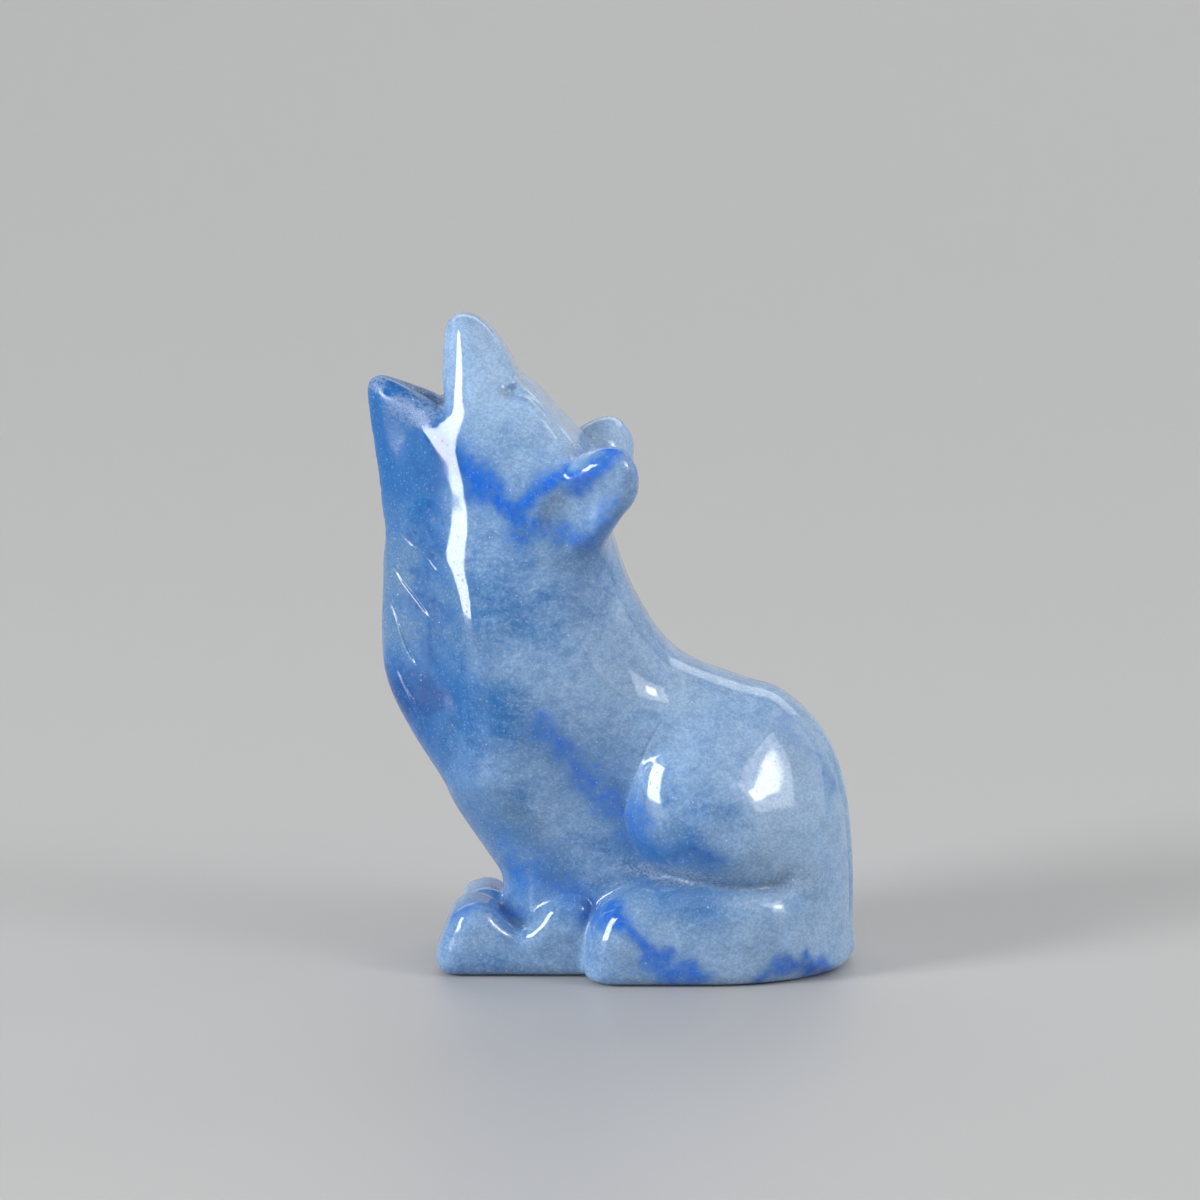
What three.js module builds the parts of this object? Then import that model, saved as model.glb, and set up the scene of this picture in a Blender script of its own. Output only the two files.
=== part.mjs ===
// Howling wolf sitting back on its haunches, carved from one piece of blue aventurine quartz and
// polished. Millimetres. The origin is on the table under the middle of the figure: x runs from
// the chest to the rump, y across the animal with its left side at -y, z up.
//
// The stone is worked the way the carver works it. A slab is sawn to the outline seen from the
// side, its faces are brought in to the girth of each part and its edges rounded off, the haunches,
// feet, paws, ruff and ears are left standing, and the mouth, eyes and seams are ground in.
import * as THREE from 'three';

// How round the edge of the flat underside is
const BASE_EDGE = 1.4;

// Size of the facets, at the head and on the body
const FINE = 0.86;
const COARSE = 1.3;

// The sawn outline, [x, z] of the points that a smooth closed line runs through
const SLAB = [
  // muzzle, from the upper lip over the nose to the brow
  [-12.4, 43.2], [-12.55, 45.0], [-12.5, 47.3], [-12.35, 48.7], [-11.9, 49.5], [-11.1, 49.85], [-10.0, 49.6],
  [-9.1, 48.9], [-8.2, 47.8], [-7.5, 46.6], [-7.0, 45.5],
  // forehead and nape
  [-6.8, 44.95], [-5.8, 44.3], [-4.0, 42.3], [-1.8, 39.7], [-0.3, 35.6], [0.3, 32.6], [2.1, 28.0],
  [5.1, 24.0],
  // back and rump, down to the table
  [10.2, 21.8], [13.0, 20.9], [16.2, 17.8], [17.9, 13.3], [18.5, 3.4], [18.1, -0.7],
  // underside, and up the front of the legs
  [-9.2, -2.0], [-8.6, 3.0], [-8.3, 6.9], [-9.2, 8.4],
  // chest behind the ruff
  [-12.4, 13.7], [-12.6, 16.6], [-13.2, 20.0], [-13.7, 24.0], [-14.3, 28.5], [-15.8, 31.6],
  // throat, lower jaw and floor of the mouth
  [-17.2, 34.6], [-17.4, 37.0], [-17.7, 39.5], [-18.1, 42.4], [-18.1, 44.6], [-17.4, 45.1], [-13.1, 43.3],
  [-12.7, 42.9],
];

// How thick the slab is left at each place, as a half width, and how far its edge is rounded there.
// Between the places both change like a thin plate bent through all of them.
const GIRTHS = [
  { place: 'nose', at: [-11.2, 49.0], half: 2.4, edge: 2.2 },
  { place: 'bridge of the muzzle', at: [-9.4, 46.8], half: 2.9, edge: 2.6 },
  { place: 'front of the muzzle', at: [-11.8, 45.4], half: 3.3, edge: 2.4 },
  { place: 'root of the muzzle', at: [-8.8, 44.2], half: 4.1, edge: 2.8 },
  { place: 'corner of the mouth', at: [-12.6, 43.0], half: 3.75, edge: 1.2 },
  { place: 'below the corner', at: [-13.3, 41.0], half: 3.87, edge: 2.4 },
  { place: 'side of the muzzle', at: [-10.6, 43.6], half: 4.2, edge: 2.8 },
  { place: 'front of the cheek', at: [-11.0, 41.0], half: 5.1, edge: 3.2 },
  { place: 'cheek', at: [-8.3, 40.6], half: 5.6, edge: 4.0 },
  { place: 'under the eye', at: [-6.6, 43.2], half: 4.8, edge: 1.4 },
  { place: 'back of the cheek', at: [-4.6, 41.6], half: 5.15, edge: 1.3 },
  { place: 'brow at the ear', at: [-2.4, 40.0], half: 5.2, edge: 1.4 },
  { place: 'chin', at: [-17.8, 44.2], half: 1.1, edge: 1.1 },
  { place: 'lip of the lower jaw', at: [-15.2, 43.8], half: 2.5, edge: 1.8 },
  { place: 'lower jaw', at: [-15.2, 41.0], half: 2.38, edge: 1.9 },
  { place: 'front of the jaw', at: [-17.2, 39.6], half: 1.15, edge: 1.2 },
  { place: 'throat', at: [-15.6, 36.0], half: 2.3, edge: 2.2 },
  { place: 'side of the throat', at: [-13.3, 37.2], half: 4.1, edge: 3.0 },
  { place: 'front of the neck', at: [-11.4, 37.2], half: 5.55, edge: 4.0 },
  { place: 'over the ruff', at: [-15.0, 32.4], half: 2.9, edge: 2.6 },
  { place: 'beside the ruff', at: [-12.8, 32.4], half: 5.3, edge: 3.4 },
  { place: 'side of the neck', at: [-11.2, 32.4], half: 6.35, edge: 4.2 },
  { place: 'middle of the neck', at: [-9.8, 32.0], half: 7.05, edge: 4.8 },
  { place: 'behind the ruff', at: [-13.3, 27.6], half: 5.8, edge: 3.6 },
  { place: 'neck', at: [-6.5, 36.0], half: 6.9, edge: 5.4 },
  { place: 'nape', at: [-2.6, 34.0], half: 6.7, edge: 5.4 },
  { place: 'over the chest', at: [-10.4, 27.6], half: 7.7, edge: 4.6 },
  { place: 'side of the chest', at: [-6.5, 28.0], half: 8.0, edge: 5.8 },
  { place: 'chest', at: [-10.5, 22.0], half: 7.3, edge: 6.0 },
  { place: 'lower chest', at: [-10.4, 15.0], half: 6.5, edge: 5.6 },
  { place: 'shoulder', at: [-2.0, 24.0], half: 8.05, edge: 6.8 },
  { place: 'back of the shoulder', at: [3.6, 22.6], half: 7.2, edge: 6.6 },
  { place: 'front leg', at: [-7.5, 7.0], half: 5.1, edge: 4.4 },
  { place: 'flank', at: [-1.5, 13.0], half: 5.6, edge: 4.0 },
  { place: 'groove over the hind foot', at: [6.0, 8.1], half: 6.2, edge: 3.0 },
  { place: 'end of that groove', at: [12.0, 8.3], half: 6.7, edge: 4.0 },
  { place: 'under the haunch', at: [8.0, 14.0], half: 6.2, edge: 6.0 },
  { place: 'behind the haunch', at: [12.5, 16.0], half: 6.5, edge: 6.4 },
  { place: 'back', at: [8.0, 20.0], half: 7.2, edge: 6.8 },
  { place: 'rump', at: [15.5, 11.0], half: 7.8, edge: 7.6 },
  { place: 'seat', at: [15.0, 3.0], half: 8.8, edge: 8.2 },
  { place: 'gap behind the paw', at: [-1.2, 4.5], half: 5.2, edge: 3.0 },
  { place: 'belly', at: [5.0, 4.5], half: 6.4, edge: 3.0 },
];
const LEAST_EDGE = 0.8;

// What is left standing on the slab, each an outline drawn through to a half width on both sides
// with its edge rounded. Seam is how softly it runs into the stone beside it.
const RUFF = {
  half: 4.3,
  halfAt: -13.1,
  taper: 0.72,
  footTaper: 1.9,
  footFrom: 21,
  footTo: 14.5,
  edge: 1.6,
  seam: 0.4,
  topSeam: 1.4,
  fadesFrom: 28,
  fadesTo: 34,
  outline: [
    [-13.6, 35.6], [-16.0, 34.2], [-16.95, 32.2], [-17.15, 29.6], [-17.05, 22.6], [-15.2, 18.3],
    [-12.9, 14.7], [-12.3, 14.0], [-11.0, 16.0], [-12.0, 31.0],
  ],
};
const HAUNCH = {
  half: 12,
  edge: 3.6,
  dome: { centre: [8.0, 2.6, 12.4], radii: [9.0, 7.0, 6.7], pitch: -45, yaw: 0 },
  domeBlend: 1.6,
  seam: 0.6,
  backSeam: 2.0,
  seamSlope: 0.8,
  seamFrom: 17.2,
  seamTo: 24.2,
  outline: [
    [4.6, 21.6], [14.6, 18.4], [17.2, 15.2], [17.8, 11.8], [16.4, 8.9], [8.0, 7.4], [1.5, 9.2], [0.7, 12.2],
    [2.7, 20.0],
  ],
};
// The feet narrow a little towards the table: how much for each millimetre, and from what height down
const FOOT_SPREAD = 0.18;
const FOOT_SPREAD_BELOW = 3.6;
const HIND_FOOT = {
  half: 9.4,
  edge: 3.0,
  seam: 0.8,
  roundFrom: 7.5,
  roundLength: 11.2,
  outline: [
    [-1.7, -1.5], [-1.9, 2.2], [-1.5, 4.4], [-0.6, 5.9], [2.0, 7.3], [5.5, 7.9], [10.0, 7.8], [14.0, 7.2],
    [17.2, 5.4], [18.2, 2.0], [17.9, -1.5],
  ],
};
const PAW = {
  half: 6.4,
  edge: 2.2,
  seam: 0.7,
  farSetBack: 0.7,
  farLower: 0.5,
  farBlend: 1.2,
  outline: [
    [-12.5, -1.2], [-13.1, 1.6], [-12.4, 3.6], [-11.7, 5.1], [-10.3, 5.7], [-9.0, 5.4], [-7.9, 4.3],
    [-6.8, 3.6], [-5.9, 4.3], [-4.9, 5.6], [-3.4, 6.3], [-1.7, 6.1], [-1.0, 4.4], [-0.9, -1.5],
  ],
};

// The ears lie back, and each leans out from its root and ends in a round knob. The right one is a
// little shorter.
const EAR = {
  root: [-3.8, 36.6],
  along: [0.87, 0.5],
  rootOut: 4.9,
  lean: 0.46,
  half: 1.85,
  thinning: 0.08,
  edge: 1.8,
  knob: { centre: [-0.3, 7.0, 38.3], radii: [1.8, 1.85, 2.2], pitch: 60, yaw: 25 },
  knobBlend: 1.2,
  seam: 1.0,
  rootSeam: 2.4,
  rootSlope: 0.7,
  rootFrom: 38.5,
  rootTo: 35,
  frontFrom: -2.0,
  frontTo: -4.2,
  farSetForward: 0.3,
  farLower: 0.5,
  outline: [
    [-6.2, 37.6], [-2.8, 39.8], [-0.2, 41.1], [0.9, 41.0], [2.1, 39.1], [-0.9, 33.2], [-3.4, 32.6],
    [-5.8, 34.0],
  ],
};

// What is ground in. The forehead is let in between the brows, wider towards the ears.
const FOREHEAD = {
  frontHalf: 3.7,
  backHalf: 4.5,
  front: -7,
  back: -2,
  blend: 0.4,
  seam: 1.4,
  outline: [
    [-7.6, 45.0], [-6.7, 44.75], [-5.67, 44.3], [-4.5, 43.3], [-3.2, 41.7], [-2.2, 40.4], [-1.4, 39.0],
    [0.5, 39.5], [-1.0, 43.5], [-5.0, 47.5], [-7.4, 46.6],
  ],
};
const EAR_HOLLOW = { centre: [-2.2, 8.75, 36.8], radii: [3.5, 1.6, 2.0], pitch: 36, yaw: 27, seam: 1.0 };
const EYE = { centre: [-6.85, 4.2, 44.75], radii: [1.3, 1.35, 0.5], pitch: 22, yaw: 0, seam: 0.3 };
const MOUTH = { from: [-15.4, 0, 45.4], to: [-13.0, 0, 43.9], fromRadius: 0.5, toRadius: 1.3, seam: 0.8 };
const LEG_SEAM = { top: 13.5, deepBelow: 8, depth: 1.1, pawDepth: 0.8, width: 0.9, front: -8.5, back: -6.5 };
const PAW_TOP = { from: 6.5, to: 5.0 };
const TAIL = { half: 1.5, seamDepth: 0.3, seamWidth: 0.7, top: 21, fullBelow: 17, from: 13.5, to: 16 };

// Runs smoothly from 0 at one place to 1 at the other, whichever is the greater
function ramp(at, from, to) {
  const t = THREE.MathUtils.clamp((at - from) / (to - from), 0, 1);
  return t * t * (3 - 2 * t);
}

// Joins two shapes, and cuts one away from the other, with a seam of the given softness
function join(a, b, seam) {
  const near = Math.max(seam - Math.abs(a - b), 0) / seam;
  return Math.min(a, b) - near * near * seam * 0.25;
}
function cut(a, b, seam) {
  return -join(-a, b, seam);
}

// Distance from the smooth closed line through the points, less than 0 inside it
function outlineDistance(points) {
  const knots = points.map(([x, z]) => new THREE.Vector3(x, 0, z));
  const line = new THREE.CatmullRomCurve3(knots, true, 'centripetal').getPoints(points.length * 5);
  return (x, z) => {
    let nearest = Infinity;
    let inside = false;
    for (let i = 1; i < line.length; i += 1) {
      const { x: ax, z: az } = line[i - 1];
      const ex = line[i].x - ax;
      const ez = line[i].z - az;
      const px = x - ax;
      const pz = z - az;
      const t = THREE.MathUtils.clamp((px * ex + pz * ez) / (ex * ex + ez * ez), 0, 1);
      nearest = Math.min(nearest, Math.hypot(px - t * ex, pz - t * ez));
      if (az > z !== line[i].z > z && px < (pz * ex) / ez) inside = !inside;
    }
    return inside ? -nearest : nearest;
  };
}

// An outline drawn through to a half width across, with its edge rounded off
function drawnThrough(distance, across, half, edge) {
  const a = distance + edge;
  const b = Math.abs(across) - half + edge;
  return Math.min(Math.max(a, b), 0) + Math.hypot(Math.max(a, 0), Math.max(b, 0)) - edge;
}

// An egg, pitched up towards the rump and then turned outwards, in degrees
function egg({ centre, radii, pitch, yaw }) {
  const turn = new THREE.Matrix4()
    .makeRotationZ(-THREE.MathUtils.degToRad(yaw))
    .multiply(new THREE.Matrix4().makeRotationY(THREE.MathUtils.degToRad(pitch)));
  const middle = new THREE.Vector3(...centre);
  const size = new THREE.Vector3(...radii);
  const p = new THREE.Vector3();
  return (x, y, z) => {
    const reach = p.set(x, y, z).sub(middle).applyMatrix4(turn).divide(size).length();
    return (reach * (reach - 1)) / (p.divide(size).length() + 1e-9);
  };
}

// A round bar whose radius changes from one end to the other
function bar({ from, to, fromRadius, toRadius }) {
  const line = new THREE.Line3(new THREE.Vector3(...from), new THREE.Vector3(...to));
  const p = new THREE.Vector3();
  const foot = new THREE.Vector3();
  return (x, y, z) => {
    const t = line.closestPointToPointParameter(p.set(x, y, z), true);
    return line.at(t, foot).distanceTo(p) - THREE.MathUtils.lerp(fromRadius, toRadius, t);
  };
}

// How a thin plate bends away from one place
function bend(x, z, [px, pz]) {
  const apart = (x - px) ** 2 + (z - pz) ** 2 + 1e-9;
  return apart * Math.log(apart);
}

// Solves a set of equations, each row its factors and then its right side
function solved(rows) {
  const count = rows.length;
  for (let n = 0; n < count; n += 1) {
    const size = (m) => Math.abs(rows[m][n]);
    let largest = n;
    for (let m = n + 1; m < count; m += 1) largest = size(m) > size(largest) ? m : largest;
    [rows[n], rows[largest]] = [rows[largest], rows[n]];
    for (let m = 0; m < count; m += 1) {
      if (m === n) continue;
      const share = rows[m][n] / rows[n][n];
      for (let k = n; k <= count; k += 1) rows[m][k] -= share * rows[n][k];
    }
  }
  return rows.map((row, n) => row[count] / row[n]);
}

// A thin plate bent through one measure of all the girths, as a function of the place
function plateThrough(measure) {
  const rows = GIRTHS.map(({ at, [measure]: value }) => [
    ...GIRTHS.map((other) => bend(...at, other.at)), 1, ...at, value,
  ]);
  for (const level of [() => 1, ({ at }) => at[0], ({ at }) => at[1]]) {
    rows.push([...GIRTHS.map(level), 0, 0, 0, 0]);
  }
  const weights = solved(rows);
  const [level, along, up] = weights.slice(-3);
  return (x, z) => {
    let value = level + along * x + up * z;
    GIRTHS.forEach(({ at }, n) => {
      value += weights[n] * bend(x, z, at);
    });
    return value;
  };
}

const halfAt = plateThrough('half');
const edgeAt = plateThrough('edge');
const slabLine = outlineDistance(SLAB);
const ruffLine = outlineDistance(RUFF.outline);
const haunchLine = outlineDistance(HAUNCH.outline);
const haunchDome = egg(HAUNCH.dome);
const hindFootLine = outlineDistance(HIND_FOOT.outline);
const pawLine = outlineDistance(PAW.outline);
const foreheadLine = outlineDistance(FOREHEAD.outline);
const earLine = outlineDistance(EAR.outline);
const earKnob = egg(EAR.knob);
const earHollow = egg(EAR_HOLLOW);
const eye = egg(EYE);
const mouth = bar(MOUTH);

function slab(x, y, z) {
  return drawnThrough(slabLine(x, z), y, halfAt(x, z), Math.max(edgeAt(x, z), LEAST_EDGE));
}

// The ruff is a keel of hair down the throat, narrower to the front and at its foot, that dies away
// into the throat at the top
function withRuff(stone, x, y, z) {
  const foot = RUFF.footTaper * ramp(z, RUFF.footFrom, RUFF.footTo);
  const half = RUFF.half + RUFF.taper * (x - RUFF.halfAt) - foot;
  const seam = THREE.MathUtils.lerp(RUFF.seam, RUFF.topSeam, ramp(z, RUFF.fadesFrom, RUFF.fadesTo));
  return join(stone, drawnThrough(ruffLine(x, z), y, half, RUFF.edge), seam);
}

// The haunch is a dome that stands out sharply in front and rolls away softly behind
function withHaunches(stone, x, y, z) {
  const pad = drawnThrough(haunchLine(x, z), y, HAUNCH.half, HAUNCH.edge);
  const haunch = cut(pad, -haunchDome(x, Math.abs(y), z), HAUNCH.domeBlend);
  const back = ramp(x + HAUNCH.seamSlope * z, HAUNCH.seamFrom, HAUNCH.seamTo);
  return join(stone, haunch, THREE.MathUtils.lerp(HAUNCH.seam, HAUNCH.backSeam, back));
}

function footNarrowing(z) {
  return FOOT_SPREAD * Math.max(FOOT_SPREAD_BELOW - z, 0);
}

// The hind feet lie along the table, and seen from above they close in a half round at the rump
function withHindFeet(stone, x, y, z) {
  const past = Math.max(x - HIND_FOOT.roundFrom, 0) / HIND_FOOT.roundLength;
  const half = HIND_FOOT.half * Math.sqrt(Math.max(1 - past * past, 0.02)) - footNarrowing(z);
  return join(stone, drawnThrough(hindFootLine(x, z), y, half, HIND_FOOT.edge), HIND_FOOT.seam);
}

// The right front paw is cut a little lower and further back than the left
function withPaws(stone, x, y, z) {
  const right = ramp(y, -PAW.farBlend, PAW.farBlend);
  const line = pawLine(x - PAW.farSetBack * right, z + PAW.farLower * right);
  return join(stone, drawnThrough(line, y, PAW.half - footNarrowing(z), PAW.edge), PAW.seam);
}

// A seam parts the front legs, and deepens between the paws
function withLegSeam(stone, x, y, z) {
  const shown = ramp(x, LEG_SEAM.back, LEG_SEAM.front) * ramp(z, LEG_SEAM.top, LEG_SEAM.deepBelow);
  const depth = LEG_SEAM.depth + LEG_SEAM.pawDepth * ramp(z, PAW_TOP.from, PAW_TOP.to);
  return stone + shown * depth * Math.exp(-((y / LEG_SEAM.width) ** 2));
}

// The forehead lies lower than the brows on either side of it
function withForehead(stone, x, y, z) {
  const back = ramp(x, FOREHEAD.front, FOREHEAD.back);
  const half = THREE.MathUtils.lerp(FOREHEAD.frontHalf, FOREHEAD.backHalf, back);
  return cut(stone, cut(foreheadLine(x, z), half - Math.abs(y), FOREHEAD.blend), FOREHEAD.seam);
}

function withEars(stone, x, y, z) {
  const right = y > 0 ? 1 : 0;
  const ex = x + EAR.farSetForward * right;
  const ez = z + EAR.farLower * right;
  const out = Math.abs(y);
  const along = (ex - EAR.root[0]) * EAR.along[0] + (ez - EAR.root[1]) * EAR.along[1];
  const across = (out - EAR.rootOut - EAR.lean * along) / Math.hypot(1, EAR.lean);
  const flap = drawnThrough(earLine(ex, ez), across, EAR.half - EAR.thinning * along, EAR.edge);
  const ear = join(flap, earKnob(ex, out, ez), EAR.knobBlend);
  const below = ramp(z - EAR.rootSlope * x, EAR.rootFrom, EAR.rootTo);
  const root = Math.max(below, ramp(x, EAR.frontFrom, EAR.frontTo));
  const seam = THREE.MathUtils.lerp(EAR.seam, EAR.rootSeam, root);
  return cut(join(stone, ear, seam), earHollow(ex, out, ez), EAR_HOLLOW.seam);
}

// The tail hangs down the middle of the rump between two shallow seams
function withTail(stone, x, y, z) {
  const shown = ramp(x, TAIL.from, TAIL.to) * ramp(z, TAIL.top, TAIL.fullBelow);
  const off = (Math.abs(y) - TAIL.half) / TAIL.seamWidth;
  return stone + TAIL.seamDepth * shown * Math.exp(-off * off);
}

// The whole figure: less than 0 inside the stone, 0 on its surface
function wolf(x, y, z) {
  let stone = slab(x, y, z);
  stone = withRuff(stone, x, y, z);
  stone = withHaunches(stone, x, y, z);
  stone = withPaws(stone, x, y, z);
  stone = withHindFeet(stone, x, y, z);
  stone = withLegSeam(stone, x, y, z);
  stone = withTail(stone, x, y, z);
  stone = withForehead(stone, x, y, z);
  stone = withEars(stone, x, y, z);
  stone = cut(stone, eye(x, Math.abs(y), z), EYE.seam);
  stone = cut(stone, mouth(x, y, z), MOUTH.seam);
  return cut(stone, z, BASE_EDGE);
}

// Places along one axis whose spacing changes evenly from each [place, spacing] stop to the next
function gradedPlaces(stops) {
  const places = [stops[0][0]];
  const end = stops.at(-1)[0];
  while (places.at(-1) < end) {
    const at = places.at(-1);
    const next = stops.findIndex(([place]) => place > at);
    const [before, after] = [stops[next - 1], stops[next]];
    places.push(at + THREE.MathUtils.mapLinear(at, before[0], after[0], before[1], after[1]));
  }
  return places;
}

// The groups of joined corners of one grid cell that are all inside the stone, or all outside.
// A corner's number holds its place in three bits, so corners one bit apart share an edge.
function cornerGroups(values) {
  const met = new Set();
  const groups = [];
  for (let first = 0; first < 8; first += 1) {
    if (met.has(first)) continue;
    const group = [first];
    met.add(first);
    for (const corner of group) {
      for (const next of [corner ^ 1, corner ^ 2, corner ^ 4]) {
        if (met.has(next) || values[next] < 0 !== values[corner] < 0) continue;
        met.add(next);
        group.push(next);
      }
    }
    groups.push(group);
  }
  return groups;
}

// Where a narrow groove or ridge passes between the places of the grid, a cell can hold two sheets
// of surface, and its skin would touch itself. There the group of corners that lies nearest to the
// surface is moved across it, until every cell holds one sheet.
function untangle(values, stride) {
  const spread = [0, 1, 2, 3, 4, 5, 6, 7].map(
    (corner) => (corner & 1) * stride[0] + ((corner >> 1) & 1) * stride[1] + (corner >> 2) * stride[2],
  );
  let tangled = true;
  while (tangled) {
    tangled = false;
    for (let low = 0; low < values.length - spread[7]; low += 1) {
      const cell = spread.map((offset) => values[low + offset]);
      const groups = cornerGroups(cell);
      if (groups.length < 3) continue;
      const depth = (group) => Math.max(...group.map((corner) => Math.abs(cell[corner])));
      const nearest = groups.reduce((best, group) => (depth(group) < depth(best) ? group : best));
      for (const corner of nearest) values[low + spread[corner]] *= -0.1;
      tangled = true;
    }
  }
}

// Skins the shape over a grid of places. Each grid cell that the surface passes through gets one
// corner, at the middle of where the surface crosses its edges, and each crossed edge gets a
// four-sided facet from the corners of the cells around it.
function skin(shape, xs, ys, zs) {
  const stride = [ys.length * zs.length, zs.length, 1];
  const places = [xs, ys, zs];
  const values = xs.flatMap((x) => ys.flatMap((y) => zs.map((z) => shape(x, y, z))));
  untangle(values, stride);
  const cells = new Map();
  const facets = [];
  const indexOf = (cell) => cell[0] * stride[0] + cell[1] * stride[1] + cell[2];
  const cornerOf = (key, crossing) => {
    if (!cells.has(key)) cells.set(key, { sum: new THREE.Vector3(), count: 0, order: cells.size });
    const corner = cells.get(key);
    corner.sum.add(crossing);
    corner.count += 1;
    return corner.order;
  };
  for (let i = 1; i < xs.length - 1; i += 1) {
    for (let j = 1; j < ys.length - 1; j += 1) {
      for (let k = 1; k < zs.length - 1; k += 1) {
        for (let axis = 0; axis < 3; axis += 1) {
          const here = indexOf([i, j, k]);
          const a = values[here];
          const b = values[here + stride[axis]];
          if (a < 0 === b < 0) continue;
          const start = new THREE.Vector3(xs[i], ys[j], zs[k]);
          const crossing = start.clone();
          const step = [i, j, k][axis];
          const t = a / (a - b);
          crossing.setComponent(axis, THREE.MathUtils.lerp(places[axis][step], places[axis][step + 1], t));
          const u = stride[(axis + 1) % 3];
          const v = stride[(axis + 2) % 3];
          const ring = [here - u - v, here - v, here, here - u].map((key) => cornerOf(key, crossing));
          facets.push(a < 0 ? ring : ring.reverse());
        }
      }
    }
  }
  const corners = [...cells.values()].map(({ sum, count }) => sum.divideScalar(count));
  return { corners, facets };
}

// Direction in which the shape's value grows fastest, and how fast
function slope(shape, p) {
  const h = 0.02;
  return new THREE.Vector3(
    shape(p.x + h, p.y, p.z) - shape(p.x - h, p.y, p.z),
    shape(p.x, p.y + h, p.z) - shape(p.x, p.y - h, p.z),
    shape(p.x, p.y, p.z + h) - shape(p.x, p.y, p.z - h),
  ).divideScalar(2 * h);
}

// Evens out the facets along the surface and brings every corner onto it
function settle(shape, corners, facets, rounds) {
  const neighbours = corners.map(() => new Set());
  for (const ring of facets) {
    ring.forEach((corner, n) => {
      const next = ring[(n + 1) % 4];
      neighbours[corner].add(next);
      neighbours[next].add(corner);
    });
  }
  for (let round = 0; round < rounds; round += 1) {
    const moved = corners.map((corner, n) => {
      const middle = new THREE.Vector3();
      neighbours[n].forEach((other) => middle.add(corners[other]));
      const drift = middle.divideScalar(neighbours[n].size).sub(corner);
      const normal = slope(shape, corner).normalize();
      return corner.clone().addScaledVector(drift.addScaledVector(normal, -drift.dot(normal)), 0.5);
    });
    moved.forEach((corner, n) => {
      for (let pass = 0; pass < 3; pass += 1) {
        const rise = slope(shape, corner);
        const step = -shape(corner.x, corner.y, corner.z) / Math.max(rise.lengthSq(), 0.05);
        corner.addScaledVector(rise, THREE.MathUtils.clamp(step, -0.5, 0.5));
      }
      corners[n].copy(corner);
    });
  }
}

// The skin as a geometry, each facet split along its shorter diagonal, and centred over the origin
function stoneGeometry(shape) {
  const xs = gradedPlaces([[-20.2, FINE], [-8, FINE], [3, FINE], [10, COARSE], [21, COARSE]]);
  const ys = gradedPlaces([[-11.4, 1.08], [0, 1.14], [11.4, 1.08]]);
  const zs = gradedPlaces([[-2, 1.0], [10, 1.1], [16, COARSE], [30, COARSE], [37, FINE], [52, FINE]]);
  const { corners, facets } = skin(shape, xs, ys, zs);
  settle(shape, corners, facets, 3);
  for (const corner of corners) {
    if (Math.abs(corner.z) < 0.02) corner.z = 0;
  }
  const index = facets.flatMap(([a, b, c, d]) => {
    const short = corners[a].distanceTo(corners[c]) < corners[b].distanceTo(corners[d]);
    return short ? [a, b, c, a, c, d] : [a, b, d, b, c, d];
  });
  const geometry = new THREE.BufferGeometry().setFromPoints(corners);
  geometry.setIndex(index);
  geometry.computeBoundingBox();
  const middle = geometry.boundingBox.getCenter(new THREE.Vector3());
  geometry.translate(-middle.x, -middle.y, 0);
  geometry.computeVertexNormals();
  return geometry;
}

const blueAventurine = new THREE.MeshStandardMaterial({ color: 0x6e96c8, roughness: 0.12, metalness: 0 });

const figure = new THREE.Group();
const stone = new THREE.Mesh(stoneGeometry(wolf), blueAventurine);
stone.name = 'wolf';
figure.add(stone);

export default figure;
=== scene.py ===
import bmesh
import bpy
import numpy as np
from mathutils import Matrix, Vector
from mathutils.kdtree import KDTree


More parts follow.
